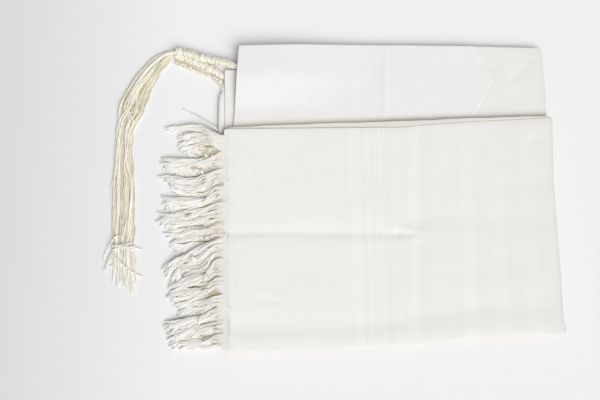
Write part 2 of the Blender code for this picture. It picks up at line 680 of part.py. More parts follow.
def build_tzitzit(name, material, head, string_height, lane_shift, seed):
    """A corner fringe: a head of windings and knots, and the eight strings that leave it."""
    mesh = bmesh.new()
    chance = random.Random(seed)
    route = smooth_route(head, WINDING_RINGS + 1)
    loop = None
    for ring, (x, y, z, radius) in enumerate(route):
        before, after = route[max(ring - 1, 0)], route[min(ring + 1, WINDING_RINGS)]
        run = Vector(after[:3] - before[:3]).normalized()
        side = run.cross(Vector((0, 0, 1))).normalized()
        upright = side.cross(run)
        wide = head_radius(radius, ring, WINDING_RINGS)
        corners = []
        for step in range(HEAD_SIDES):
            angle = 2.0 * math.pi * step / HEAD_SIDES
            offset = side * math.cos(angle) + upright * math.sin(angle)
            corners.append(mesh.verts.new(Vector((x, y, z)) + offset * wide))
        if loop is None:
            mesh.faces.new(corners)
        else:
            skin(mesh, loop, corners)
        loop = corners

    middle = mesh.verts.new(Vector(route[-1][:3]))
    sectors = []
    for step in range(HEAD_SIDES):
        corners = (loop[step], loop[(step + 1) % HEAD_SIDES], middle)
        root = sum((corner.co for corner in corners), Vector()) / 3
        sectors.append(((middle.co - root).dot(side), root, corners))
    sectors.sort(key=lambda sector: sector[0])
    for number, (_, root, corners) in enumerate(sectors):
        lane = 2.0 * (number + lane_shift) / HEAD_SIDES - 1.0
        shortfall = STRING_SHORTFALL * chance.random()
        grow_thread(mesh, corners, run,
                    string_stations(root, run, lane, string_height, shortfall))
    make_object(name, mesh, material)


def clear_objects():
    for existing in list(bpy.data.objects):
        bpy.data.objects.remove(existing)


def main():
    clear_objects()
    cloth = make_material("worsted wool, off-white", (0.86, 0.85, 0.83), 0.85)
    band = make_material("ribbed silk, off-white", (0.88, 0.87, 0.85), 0.55)
    fringe = make_material("twisted wool yarn, off-white", (0.78, 0.76, 0.72), 0.90)
    strings = make_material("spun wool strings, cream", (0.66, 0.63, 0.54), 0.90)

    build_folded_layers(cloth)
    build_front_panel(cloth)
    build_neck_panel(cloth)
    build_neck_band(band)
    build_corner_panel(cloth)
    build_rolled_fold(cloth)
    build_fringe("fringe_upper", fringe, UPPER_TASSELS, 0.0, UPPER_STRIP_HEIGHT,
                 UPPER_KNOT_COLUMNS, UPPER_KNOT_RADIUS, seed=3)
    build_fringe("fringe_lower", fringe, LOWER_TASSELS, PILE_FOLDS[1].left, LOWER_STRIP_HEIGHT,
                 LOWER_KNOT_COLUMNS, LOWER_KNOT_RADIUS, seed=8)
    build_tzitzit("tzitzit_upper", strings, UPPER_HEAD, UPPER_STRING_HEIGHT, 0.75, seed=5)
    build_tzitzit("tzitzit_lower", strings, LOWER_HEAD, LOWER_STRING_HEIGHT, 0.25, seed=6)


main()
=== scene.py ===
"""The looks of a folded tallit: its cloth, neck band, edge fringe and corner fringes.

Every piece stands for a solid of the CAD frame and follows that solid's form. Lengths are in
metres, in the frame's own axes: +X along the pile, +Y towards the neck edge, +Z up. The tables
hold tenths of a millimetre.
"""

import math
import random

import bpy
import numpy as np
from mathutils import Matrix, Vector


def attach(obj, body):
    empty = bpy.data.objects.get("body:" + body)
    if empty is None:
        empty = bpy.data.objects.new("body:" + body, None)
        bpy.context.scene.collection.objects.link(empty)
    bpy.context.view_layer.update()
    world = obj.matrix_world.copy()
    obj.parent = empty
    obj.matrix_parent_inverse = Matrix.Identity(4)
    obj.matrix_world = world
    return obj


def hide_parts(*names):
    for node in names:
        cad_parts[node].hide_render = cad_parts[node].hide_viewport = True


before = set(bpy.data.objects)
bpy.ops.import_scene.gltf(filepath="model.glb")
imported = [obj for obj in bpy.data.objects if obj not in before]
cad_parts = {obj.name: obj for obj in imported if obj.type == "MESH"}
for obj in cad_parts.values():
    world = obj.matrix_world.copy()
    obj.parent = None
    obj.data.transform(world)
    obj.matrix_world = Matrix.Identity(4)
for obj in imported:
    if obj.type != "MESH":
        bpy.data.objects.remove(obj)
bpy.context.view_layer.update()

MM = 0.001
TENTHS = 10000  # to a metre
TURN = 2.0 * math.pi
UP = np.array((0.0, 0.0, 1.0))


def metres(*rows):
    """A table of tenths of a millimetre, in metres."""
    return np.array(rows) / TENTHS


def points_of(row, columns=3):
    """A flat row of tenths of a millimetre as points, in metres."""
    return np.reshape(row, (-1, columns)) / TENTHS


# Heights in the pile.
CORNER_REST, NECK_LAYERS_TOP, NECK_CLOTH_TOP = 4.2 * MM, 7.0 * MM, 8.7 * MM
BAND_BASE, BAND_TOP = 8.9 * MM, 9.6 * MM
PILE_LAYERS_TOP, TOP_CLOTH_TOP = 14.2 * MM, 16.7 * MM

# Outlines from above. Columns: x, y for a front or back line, and y, x for a left or right line.
PILE_FRONT = metres(
    (-1505, -2220), (-1000, -2220), (-220, -2190), (930, -2130), (1600, -2070), (1950, -2020),
    (2600, -1990), (3220, -1965))
PILE_BACK = metres((-1560, 950), (980, 975), (1360, 1010), (2050, 1060), (2510, 1080), (3180, 1120))
PILE_LEFT = metres((-2220, -1505), (950, -1560))
PILE_RIGHT = metres(
    (-1970, 3225), (-1890, 3235), (-1790, 3200), (-1160, 3195), (-660, 3175), (-200, 3165),
    (220, 3155), (1120, 3175))
LAYER_EDGE = metres((-1560, 982), (-955, 1010), (700, 1064), (2050, 1113), (3180, 1152))
NECK_FRONT = metres((-1600, 925), (700, 1000), (3180, 1100))
NECK_BACK = metres((-1360, 2200), (-460, 2225), (860, 2230), (2090, 2215), (3090, 2190))
NECK_LEFT = metres((930, -1440), (1150, -1420), (1830, -1385), (2200, -1360))
NECK_RIGHT = metres((1100, 3110), (1500, 3120), (1940, 3100), (2200, 3085))
BAND_POINT = metres(
    (950, 2000), (1170, 2060), (1340, 2155), (1700, 2375), (2040, 2175), (2210, 2095))
CORNER_LEFT = metres((940, -1560), (1860, -1575))
CORNER_RIGHT, CORNER_HEM = -0.105, 0.186
ROLL_RIGHT = -0.1578
ROLL_LEFT = metres((872, -1612), (905, -1655), (1340, -1655), (1470, -1645), (1590, -1592))
ROLL_CREST = metres((872, 52), (932, 76), (1400, 72), (1590, 49))

# Hidden layers: the top of each fold, and how far it stays back on the left, right, front, back.
PILE_FOLDS = metres(
    (29, 40, 22, 30, 200), (59, 30, 8, 12, 200), (84, 40, 30, 24, 120), (105, 34, 18, 8, 120),
    (125, 30, 6, 20, 36), (142, 36, 20, 10, 0))
NECK_LOW_FOLDS = metres((21, 40, 24, 0, 20), (42, 24, 8, 0, 36))
NECK_HIGH_FOLDS = metres((70, 14, 20, 0, 12))

# The corner fringe's root lifts the neck cloth's left end.
SWELL_HEIGHT, SWELL_X, SWELL_Y = 7.4 * MM, (-0.118, 0.082), (0.118, 0.186)


def read(table, place, column=1):
    """The value in a column of a table at a place, or at many, in its first column."""
    return np.interp(place, [row[0] for row in table], [row[column] for row in table])


def ease(start, end, value):
    """0 before start and 1 after end, with a soft turn at both."""
    share = np.clip((np.asarray(value) - start) / (end - start), 0.0, 1.0)
    return share * share * (3.0 - 2.0 * share)


def neck_swell(x, y):
    return SWELL_HEIGHT * (1.0 - ease(*SWELL_X, x)) * ease(*SWELL_Y, y)


def waver(x, y, table):
    """Soft unevenness. Columns: height and wavelength in mm, direction in degrees, start."""
    total = 0.0
    for height, length, direction, start in table:
        angle = math.radians(direction)
        along = x * math.cos(angle) + y * math.sin(angle)
        total = total + height * MM * np.sin(TURN * along / (length * MM) + start)
    return total


# ---- cloth shells

class Area:
    """A four-sided area seen from above, between its left, right, front and back lines."""

    def __init__(self, left, right, front, back, rounding=2.0 * MM, soften=4.0 * MM):
        self.lines, self.rounding, self.soften = (left, right, front, back), rounding, soften

    def line(self, number, place):
        return sum(read(self.lines[number], place + way * self.soften) for way in (-1, 0, 1)) / 3.0

    def at(self, across, along, inset):
        """x and y at two shares of the area, whose sides stay back by four insets."""
        x, y = np.zeros_like(across), np.zeros_like(along)
        for _ in range(8):
            low_x, high_x = self.line(0, y) + inset[0], self.line(1, y) - inset[1]
            x = low_x + across * (high_x - low_x)
            low_y, high_y = self.line(2, x) + inset[2], self.line(3, x) - inset[3]
            y = low_y + along * (high_y - low_y)
        # The square corners of the area are drawn in to quarter rounds.
        radius = self.rounding
        for side_x, way_x in ((low_x, 1.0), (high_x, -1.0)):
            for side_y, way_y in ((low_y, 1.0), (high_y, -1.0)):
                in_x = 1.0 - np.abs(x - side_x) / radius
                in_y = 1.0 - np.abs(y - side_y) / radius
                near = (in_x > 0.0) & (in_y > 0.0)
                span = np.hypot(in_x, in_y) + 1e-9
                scale = np.where(near, np.maximum(in_x, in_y) / span, 1.0)
                x = np.where(near, side_x + way_x * radius * (1.0 - in_x * scale), x)
                y = np.where(near, side_y + way_y * radius * (1.0 - in_y * scale), y)
        return x, y


def spread(count, edge=0.006, last=()):
    """Shares from 0 to 1, with a few lines close to each end, and more of them before the last."""
    middle = np.linspace(edge, 1.0 - edge, count)
    ends = np.concatenate(([0.0, edge * 0.4], middle, [1.0 - edge * 0.4, 1.0]))
    return np.sort(np.concatenate((ends, 1.0 - np.array(last))))


def rim_of(columns, rows):
    """The outer places of a grid, once round: their numbers, and their two shares."""
    right, back = len(columns) - 1, len(rows) - 1
    rim = [(column, 0) for column in range(right)] + [(right, row) for row in range(back)]
    rim += [(column, back) for column in range(right, 0, -1)]
    rim += [(0, row) for row in range(back, 0, -1)]
    shares = np.array([(columns[column], rows[row]) for column, row in rim])
    return [column * len(rows) + row for column, row in rim], shares[:, 0], shares[:, 1]


def ring_faces(first, second):
    """Faces between two rings of points."""
    return [(first[place - 1], first[place], second[place], second[place - 1])
            for place in (*range(1, len(first)), 0)]


def link_new(name, data):
    thing = bpy.data.objects.new(name, data)
    bpy.context.scene.collection.objects.link(thing)
    return thing


def select_only(piece):
    bpy.ops.object.select_all(action="DESELECT")
    bpy.context.view_layer.objects.active = piece
    piece.select_set(True)


def add_piece(name, points, faces, material, replaces, deep, wall=None):
    """A finished mesh, its faces turned outwards, on the part's one body.

    Its float attribute says, from 0 to 1, how much painted shade a place gets: a warm, dimmer
    colour that stands in for the shade in folds, gaps and under things. A cloth gets a wall,
    inwards from the side that shows.
    """
    data = bpy.data.meshes.new(name)
    data.from_pydata([tuple(point) for point in points], [], faces)
    shade = data.attributes.new("deep", "FLOAT", "POINT")
    shade.data.foreach_set("value", np.clip(deep, 0.0, 1.0).astype(np.float32))
    piece = link_new(name, data)
    data.materials.append(material)
    select_only(piece)
    bpy.ops.object.mode_set(mode="EDIT")
    bpy.ops.mesh.select_all(action="SELECT")
    bpy.ops.mesh.normals_make_consistent(inside=False)
    bpy.ops.object.mode_set(mode="OBJECT")
    bpy.ops.object.shade_smooth_by_angle(angle=math.radians(50))
    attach(piece, "root")
    if replaces:
        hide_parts(*replaces)
    if wall:
        solid = piece.modifiers.new("Wall", "SOLIDIFY")
        solid.thickness, solid.offset = wall, -1.0
        select_only(piece)
        bpy.ops.object.modifier_apply(modifier=solid.name)
    return piece


def folded_sides(radius, folds, tuck, steps=6):
    """Rings from the top out, down and in again. folds says 1 for a fold and 0 for a cut side.

    Each ring is its share of the height and its four insets.
    """
    rings = []
    for step in range(steps + 1):
        angle = math.pi * (0.5 - step / steps)
        depth = radius * (1.0 - math.cos(angle))
        rings.append((0.5 + 0.5 * math.sin(angle), [fold * depth for fold in folds]))
    return rings + [(0.0, [radius + tuck if fold else 0.0 for fold in folds])]


def add_cloth(name, solid, material, wall, area, grid, rings, levels, shade=None, warm=0.7):
    """A cloth that lies over an area and folds round its sides.

    levels(x, y, edge) gives its bottom and top, where edge is the distance from the nearest
    side, and shade(x, y) gives the painted shade on its top. Its folded sides get painted shade
    that grows towards their bottom, more of it for a higher warm.
    """
    def height(x, y, share, edge):
        bottom, top = levels(x, y, edge)
        return np.column_stack((x, y, bottom + share * (top - bottom)))

    columns, rows = grid
    across, along = (side.ravel() for side in np.meshgrid(columns, rows, indexing="ij"))
    x, y = area.at(across, along, rings[0][1])
    flat = np.minimum(np.minimum(across, 1.0 - across) * np.ptp(x),
                      np.minimum(along, 1.0 - along) * np.ptp(y))
    points = [height(x, y, rings[0][0], flat)]
    deep = [shade(x, y) if shade else np.zeros_like(x)]
    long = len(rows)
    faces = [(corner, corner + long, corner + long + 1, corner + 1)
             for column in range(len(columns) - 1)
             for corner in range(column * long, column * long + long - 1)]
    last, across, along = rim_of(columns, rows)
    for number, (share, inset) in enumerate(rings[1:]):
        x, y = area.at(across, along, inset)
        # Each ring of the folded sides gets painted shade, more towards their bottom.
        deep.append(np.full_like(x, 0.15 + warm * (1.0 - share)))
        points.append(height(x, y, share, np.zeros_like(x)))
        start = len(columns) * long + number * len(x)
        loop = range(start, start + len(x))
        faces += ring_faces(last, loop)
        last = loop
    return add_piece(name, np.concatenate(points), faces, material, [solid],
                     np.concatenate(deep), wall)


def layered_solid(area, folds, grid, base, lift, seed, groove=1.5 * MM):
    """Points and faces of hidden layers: rolled folds on each other, uneven along their length."""
    chance = random.Random(seed)
    _, across, along = rim_of(*grid)
    x, y = area.at(across, along, (0.0, 0.0, 0.0, 0.0))
    steps = np.hypot(np.diff(x, append=x[0]), np.diff(y, append=y[0]))
    length = np.concatenate(([0.0], np.cumsum(steps)[:-1]))
    whole = length[-1] + steps[-1]
    points, bottom = [], base
    for top, *sides in folds:
        phase = chance.uniform(0.0, 6.28)
        uneven = sum(depth * np.sin(TURN * waves * length / whole + phase * waves)
                     for depth, waves in ((0.45 * MM, 7), (0.3 * MM, 17), (0.2 * MM, 41)))
        for step in range(8):
            angle = math.pi * (step / 7.0 - 0.5)
            depth = groove * (1.0 - math.cos(angle)) + 0.15 * MM
            inset = [np.maximum(side + depth + uneven * math.cos(angle), 0.0) if side or step
                     else side + depth for side in sides]
            x, y = area.at(across, along, inset)
            level = bottom + (top - bottom) * (0.5 + 0.5 * math.sin(angle))
            raised = lift(x, y, level) if lift else np.zeros_like(x)
            points.append(np.column_stack((x, y, level + raised)))
        bottom = top
    if lift:
        # The top goes on inwards, so that it follows the lift instead of bridging it.
        room = min(np.ptp(x), np.ptp(y)) / 2.0 - 1.5 * MM
        for share in np.linspace(0.0, 1.0, 10)[1:]:
            x, y = area.at(across, along, [side + groove + room * share for side in sides])
            points.append(np.column_stack((x, y, bottom - 0.4 * MM + lift(x, y, bottom))))
    count = len(x)
    rings = [range(start, start + count) for start in range(0, count * len(points), count)]
    faces = sum((ring_faces(*pair) for pair in zip(rings, rings[1:])), [])
    return np.concatenate(points), faces + [tuple(reversed(rings[0])), tuple(rings[-1])]


# ---- yarn

def lengths(path):
    """The length of a path up to each of its points."""
    return np.concatenate(([0.0], np.cumsum(np.linalg.norm(np.diff(path, axis=0), axis=1))))


def shares(path):
    return np.linspace(0.0, 1.0, len(path))


def unit(rows):
    return rows / np.linalg.norm(rows, axis=-1, keepdims=True)


def lay_on(path, level):
    """Keeps a path from going under a level."""
    path[:, 2] = np.maximum(path[:, 2], level)
    return path


def smooth(points, spacing):
    """Places on a curve through points, evenly spread along it."""
    rows = np.asarray(points, float)
    rows = np.vstack((2 * rows[0] - rows[1], rows, 2 * rows[-1] - rows[-2]))
    share = np.linspace(0.0, 1.0, 9)[:-1, None]
    curve = []
    for number in range(1, len(rows) - 2):
        before, start, end, after = rows[number - 1:number + 3]
        curve.append(0.5 * (2 * start + (end - before) * share
                            + (2 * before - 5 * start + 4 * end - after) * share ** 2
                            + (3 * start - before - 3 * end + after) * share ** 3))
    curve = np.vstack(curve + [rows[-2:-1]])
    length = lengths(curve)
    wanted = np.linspace(0.0, length[-1], max(4, int(length[-1] / spacing)) + 1)
    return np.column_stack([np.interp(wanted, length, column) for column in curve.T])


def frames_along(path):
    """The run of a path at each point, and two directions across it that don't twist."""
    runs = np.gradient(path, axis=0)
    runs /= np.linalg.norm(runs, axis=1)[:, None] + 1e-12
    side = np.cross(runs[0], UP if abs(runs[0][2]) < 0.9 else (1.0, 0.0, 0.0))
    sides = []
    for run in runs:
        side = side - run * side.dot(run)
        side = side / (np.linalg.norm(side) + 1e-12)
        sides.append(side)
    return runs, np.array(sides), np.cross(runs, sides)


def out_of(side, over, angle):
    """The ways out of a path at angles round it."""
    return np.cos(angle)[..., None] * side + np.sin(angle)[..., None] * over


class Yarn:
    """Collects yarns into one mesh, with a UV map that runs round and along each of them."""

    def __init__(self):
        self.points, self.faces, self.uvs, self.deep, self.count = [], [], [], [], 0

    def strand(self, path, radius, sides=5, deep=0.0):
        """One strand. radius and its painted shade are numbers, or one number for each point of the
        path.
        """
        path = np.asarray(path, float)
        radii, depths = (np.broadcast_to(np.asarray(value, float), len(path))
                         for value in (radius, deep))
        self.deep.append(np.repeat(depths, sides))
        _, side, over = frames_along(path)
        ring = out_of(side[:, None], over[:, None], TURN * (np.arange(sides) + 0.5) / sides)
        self.points.append((path[:, None, :] + ring * radii[:, None, None]).reshape(-1, 3))
        length = lengths(path)
        for row in range(len(path) - 1):
            low, high = self.count + row * sides, self.count + (row + 1) * sides
            for number in range(sides):
                after = (number + 1) % sides
                self.faces.append((low + number, low + after, high + after, high + number))
                near, far = number / sides, (number + 1) / sides
                self.uvs += [(near, length[row]), (far, length[row]),
                             (far, length[row + 1]), (near, length[row + 1])]
        last = self.count + (len(path) - 1) * sides
        self.faces.append(tuple(range(self.count + sides - 1, self.count - 1, -1)))
        self.faces.append(tuple(range(last, last + sides)))
        self.uvs += [(0.5, 0.0)] * sides + [(0.5, length[-1])] * sides
        self.count += len(path) * sides

    def plied(self, path, radius, plies, lay, sides=5, start=0.0, deep=0.0):
        """Strands twisted round each other, as in a spun yarn. lay is one full turn's length."""
        path = np.asarray(path, float)
        radii = np.broadcast_to(np.asarray(radius, float), len(path))
        _, side, over = frames_along(path)
        own = 1.0 / (1.0 + 1.0 / math.sin(math.pi / plies))
        for ply in range(plies):
            offset = out_of(side, over, TURN * (lengths(path) / lay + ply / plies) + start)
            self.strand(path + offset * (radii * (1.0 - own))[:, None], radii * own * 1.08,
                        sides, deep)

    def piece(self, name, material, slot, replaces=()):
        piece = add_piece(name, np.concatenate(self.points), self.faces, material, replaces,
                          np.concatenate(self.deep))
        layer = piece.data.uv_layers.new(name="yarn")
        layer.data.foreach_set("uv", np.array(self.uvs, np.float32).ravel())


# ---- materials

def linear(colour):
    """An sRGB hex colour as linear red, green, blue and alpha."""
    values = [int(colour[start:start + 2], 16) / 255.0 for start in (1, 3, 5)]
    return (*(value / 12.92 if value <= 0.04045 else ((value + 0.055) / 1.055) ** 2.4
              for value in values), 1.0)


def fill(tree, node, inputs):
    """Gives named or numbered inputs of a node a hex colour, a value or a socket to read."""
    for name, value in inputs.items():
        if isinstance(value, bpy.types.NodeSocket):
            tree.links.new(value, node.inputs[name])
        else:
            node.inputs[name].default_value = linear(value) if isinstance(value, str) else value


def add(tree, kind, inputs, **settings):
    """Adds a node."""
    node = tree.nodes.new("ShaderNode" + kind)
    for name, value in settings.items():
        setattr(node, name, value)
    fill(tree, node, inputs)
    return node


def wave_scale(period):
    """The Wave texture's scale that repeats at a period in metres."""
    return math.pi / (10.0 * period)


class Finish:
    """A new material, with short ways to the nodes that its look is built from."""

    def __init__(self, name, colour, roughness, sheen=0.0):
        self.material = bpy.data.materials.new(name)
        self.material.use_nodes = True
        self.tree = self.material.node_tree
        self.place = self.add("TexCoord", {}).outputs["Object"]
        self.set({"Base Color": colour, "Roughness": roughness, "Sheen Weight": sheen})

    def add(self, kind, inputs, **settings):
        return add(self.tree, kind, inputs, **settings)

    def set(self, inputs):
        fill(self.tree, self.tree.nodes["Principled BSDF"], inputs)

    def math(self, operation, *values):
        return self.add("Math", dict(enumerate(values)), operation=operation).outputs[0]

    def mix(self, share, colour, other):
        return self.add("Mix", {"Factor": share, "A": colour, "B": other},
                        data_type="RGBA").outputs[2]

    def remap(self, value, start, end, low=0.0, high=1.0):
        return self.add("MapRange", {"Value": value, "From Min": start, "From Max": end,
                                     "To Min": low, "To Max": high}).outputs["Result"]

    def axis(self, vector, name):
        return self.add("SeparateXYZ", {"Vector": vector}).outputs[name]

    def stretched(self, place, scale):
        return self.add("Mapping", {"Vector": place, "Scale": scale}).outputs["Vector"]

    def noise(self, place, scale, detail, roughness=0.5):
        return self.add("TexNoise", {"Vector": place, "Scale": scale, "Detail": detail,
                                     "Roughness": roughness}).outputs["Fac"]

    def threads(self, period, distortion, detail_scale, way):
        """Even ridges that follow each other along X or Y."""
        return self.add("TexWave", {"Vector": self.place, "Scale": wave_scale(period),
                                    "Distortion": distortion, "Detail": 1.0,
                                    "Detail Scale": detail_scale},
                        wave_type="BANDS", bands_direction=way).outputs["Fac"]

    def relief(self, fine, share, coarse, strength, depth):
        """Bump from two heights, the first of them times a share."""
        height = self.math("MULTIPLY_ADD", fine, share, coarse)
        self.set({"Normal": self.add("Bump", {"Height": height, "Strength": strength,
                                              "Distance": depth}).outputs["Normal"]})

    def shaded(self, colour, warm):
        """Takes a colour, and the warm tone that it is painted towards as painted shade, in folds,
        gaps and under things.
        """
        deep = self.add("Attribute", {}, attribute_name="deep").outputs["Fac"]
        self.set({"Base Color": self.mix(deep, colour, warm)})
        return self.material

    def woven(self, dark, light):
        """Plain weave: bump from crossing threads, and colour in soft streaks of uneven yarn."""
        # Real threads are 0.45 mm apart; drawn 1.3 mm apart, because finer ones vanish here.
        pitch = 1.3 * MM
        threads = self.math("ADD", *(self.threads(pitch * wide, 0.6, 0.8, way)
                                     for wide, way in ((1.0, "X"), (1.1, "Y"))))
        uneven = self.math("ADD", *(self.noise(self.stretched(self.place, scale), 1.0, 3.0, 0.6)
                                    for scale in ((420.0, 14.0, 40.0), (16.0, 380.0, 40.0))))
        self.relief(uneven, 1.6, threads, 0.55, 0.10 * MM)
        return self.mix(self.remap(uneven, 0.6, 1.4, 0.2, 0.8), dark, light)

    def stripes(self, place, rows, start, end):
        """A mask from a table of stripes, for the places from start to end."""
        ramp = self.add("ValToRGB", {"Fac": self.remap(place, start, end)})
        bands = ramp.color_ramp
        bands.interpolation = "CONSTANT"
        plain = (0.5, 0.5, 0.5, 1.0)
        bands.elements.remove(bands.elements[1])
        bands.elements[0].position, bands.elements[0].color = 0.0, plain
        for number, (low, high, tone) in enumerate(rows):
            share = (low / TENTHS - start) / (end - start)
            bands.elements.new(share).color = (tone, tone, tone, 1.0)
            if number + 1 == len(rows) or rows[number + 1][0] > high:
                bands.elements.new((high / TENTHS - start) / (end - start)).color = plain
        return ramp.outputs["Color"]


# Woven stripes across the cloth, at y = -9 mm. Columns: from, to, tone. A tone over 0.5 is a
# satin stripe, and one under it is an open line between threads; 0.5 is plain.
FINE_STRIPES = ((180, 192, 0.2), (230, 242, 0.18), (242, 410, 0.74), (410, 422, 0.22),
                (460, 472, 0.2), (472, 540, 0.72), (540, 552, 0.25), (580, 592, 0.25),
                (592, 630, 0.7), (630, 640, 0.3), (650, 660, 0.3), (660, 720, 0.72),
                (720, 732, 0.15), (770, 786, 0.02), (822, 834, 0.12), (982, 994, 0.22),
                (1032, 1044, 0.25))
BROAD_STRIPES = ((1815, 1995, 0.95), (2225, 2435, 0.9), (2665, 2895, 0.9))
HEM_LINES = ((-1410, -1398, 0.25), (-1398, -1382, 0.75), (-1360, -1350, 0.25), (-1350, -1322, 0.7))
NECK_STRIPES = ((2500, 2760, 0.92), (2784, 2796, 0.25), (2904, 2916, 0.25), (2964, 2976, 0.2),
                (3014, 3026, 0.25))


def striped_wool(name, groups):
    """Worsted wool: a close plain weave, matt, with woven satin stripes that catch the light.

    groups are (stripe table, start, end, slant), where slant is the stripes' drift in x for
    each metre towards -y.
    """
    look = Finish(name, "#F4F3F0", 0.82, 0.12)
    colour = look.woven("#EEEDEA", "#F7F6F4")
    rough = 0.82
    for rows, start, end, slant in groups:
        along = look.add("VectorMath", {0: look.place, 1: (1.0, slant, 0.0)},
                         operation="DOT_PRODUCT").outputs["Value"]
        mask = look.stripes(look.math("ADD", along, slant * 0.009), rows, start, end)
        # Satin stripes are painted a little lighter, a painted sheen beside their real lower
        # roughness, and open lines a little darker, painted shade between threads.
        colour = look.mix(look.remap(mask, 0.5, 1.0), colour, "#F6F5F2")
        colour = look.mix(look.remap(mask, 0.5, 0.0), colour, "#EDEBE5")
        rough = look.remap(mask, 0.5, 1.0, rough, 0.50)
    # Towards its right end the cloth is painted a little greyer, as painted shade.
    painted_right_shade = look.remap(look.axis(look.place, "X"), 0.06, 0.30, 0.0, 0.6)
    look.set({"Roughness": rough})
    return look.shaded(look.mix(painted_right_shade, colour, "#ECEAE5"), "#D9CCB0")


def plain_wool(name, dark, light, warm):
    """Worsted wool without stripes: matt and softly streaked, and painted with warm shade between
    layers.
    """
    look = Finish(name, light, 0.85, 0.12)
    return look.shaded(look.woven(dark, light), warm)


def ribbed_silk(name):
    """Ribbed silk: fine raised ribs along the band give it a soft, even lustre."""
    look = Finish(name, "#F6F5F2", 0.48, 0.08)
    # Real ribs are 0.7 mm apart; drawn at 1.6 mm so that they show.
    rib = look.threads(1.6 * MM, 0.25, 0.5, "X")
    slub = look.noise(look.stretched(look.place, (300.0, 9.0, 40.0)), 1.0, 2.0, 0.55)
    look.relief(slub, 1.2, rib, 0.5, 0.06 * MM)
    # Where painted shade is given, the silk turns to a warm tan.
    return look.shaded(look.mix(slub, "#EEEDEB", "#F5F4F3"), "#DACDB2")


def spun_yarn(name, dark, light, warm, twist):
    """Spun wool yarn: slanting fibre lines round it, a soft uneven colour along it, and a warm tone
    where it is given painted shade.
    """
    look = Finish(name, light, 0.9, 0.15)
    place = look.add("UVMap", {}, uv_map="yarn").outputs["UV"]
    slant = look.stretched(place, (1.0, 1.0 / twist, 1.0))
    turn = look.math("ADD", look.axis(slant, "X"), look.axis(slant, "Y"))
    fibre = look.math("SINE", look.math("MULTIPLY", turn, 6.0 * math.pi))
    look.relief(look.noise(look.place, 900.0, 2.0), 1.5, fibre, 0.6, 0.08 * MM)
    return look.shaded(look.mix(look.noise(look.place, 70.0, 3.0), dark, light), warm)


striped = striped_wool("worsted wool with satin stripes", (
    (FINE_STRIPES, 0.0, 0.120, 0.0185), (BROAD_STRIPES, 0.150, 0.320, 0.0105),
    (HEM_LINES, -0.160, -0.120, 0.0168)))
neck_wool = striped_wool("worsted wool at the neck", ((NECK_STRIPES, 0.230, 0.320, 0.0),))
plain = plain_wool("worsted wool", "#ECEAE6", "#F6F5F2", "#D2C3A4")
# A darker copy of the plain wool for the hidden layers, with a dimmer shade tone: painted shade for
# light that comes back warmer and dimmer from between the layers.
folded = plain_wool("worsted wool in the folds, painted in shade", "#E8E5DC", "#EFEDE6", "#A8A295")
silk = ribbed_silk("ribbed silk band")
# The last colour of each yarn is the warm tone of its painted shade.
fringe_yarn = spun_yarn("twisted wool fringe", "#F8F6F1", "#FCFBF8", "#DDCCA2", 5.0 * MM)
string_yarn = spun_yarn("spun wool strings", "#F8F5EB", "#FDFBF4", "#CFC39B", 3.5 * MM)


# ---- camera and light

def add_camera():
    """The camera looks down at the folded shawl from a little in front of it."""
    camera = link_new("camera", bpy.data.cameras.new("camera"))
    camera.location = (-0.0465, -0.1942, 1.1853)
    camera.rotation_euler = (math.radians(9.0), 0.0, 0.0)
    camera.data.lens = 50.0
    camera.data.sensor_width = 36.0
    camera.data.clip_start = 0.01
    bpy.context.scene.camera = camera


def add_surroundings():
    """A pale board in a pale room, and one large soft lamp on the right in front."""
    world = bpy.data.worlds.new("pale room")
    bpy.context.scene.world = world
    world.use_nodes = True
    fill(world.node_tree, world.node_tree.nodes["Background"],
         {"Color": (0.97, 0.985, 1.0, 1.0), "Strength": 0.31})
    lamp = link_new("soft lamp", bpy.data.lights.new("soft lamp", "SUN"))
    lamp.data.energy = 2.90
    lamp.data.angle = math.radians(56.0)
    lamp.data.color = (1.0, 0.992, 0.98)
    lamp.rotation_euler = Vector((-0.55, 0.80, -1.02)).to_track_quat("-Z", "Y").to_euler()
    bpy.context.scene.view_settings.view_transform = "Standard"

    # The board is painted a little greyer towards the left: a painted falloff of the lamp's light.
    paint = Finish("matt painted board", "#EDEDEE", 0.75)
    left = paint.remap(paint.axis(paint.place, "X"), -0.47, -0.22)
    paint.set({"Base Color": paint.mix(left, "#DFDFE0", "#F4F4F5")})
    bpy.ops.object.select_all(action="DESELECT")
    bpy.ops.mesh.primitive_plane_add(size=6.0)
    floor = bpy.context.object
    floor.name = "floor"
    floor.data.materials.append(paint.material)


# ---- the cloth

# Creases: a crease's reach on the left and the right of its route, and then the route itself,
# as x, y and the depth of the trough there (a ridge below 0) in turn.
TOP_CREASES = (
    (220, 105, -1500, -570, 16, -900, -555, 14.5, 920, -580, 13),
    (40, 80, 900, -560, 13, 1080, -590, 13),
    (80, 45, 1020, -490, -8, 1240, -550, -8),
    (60, 60, 1090, -650, -5, 1260, -620, -5),
    (35, 60, -1010, -1470, 6, -780, -1520, 6),
    (60, 60, -980, -1390, -3.5, -740, -1440, -3.5),
    (110, 110, 2890, 800, 8, 2960, 790, 8),
)
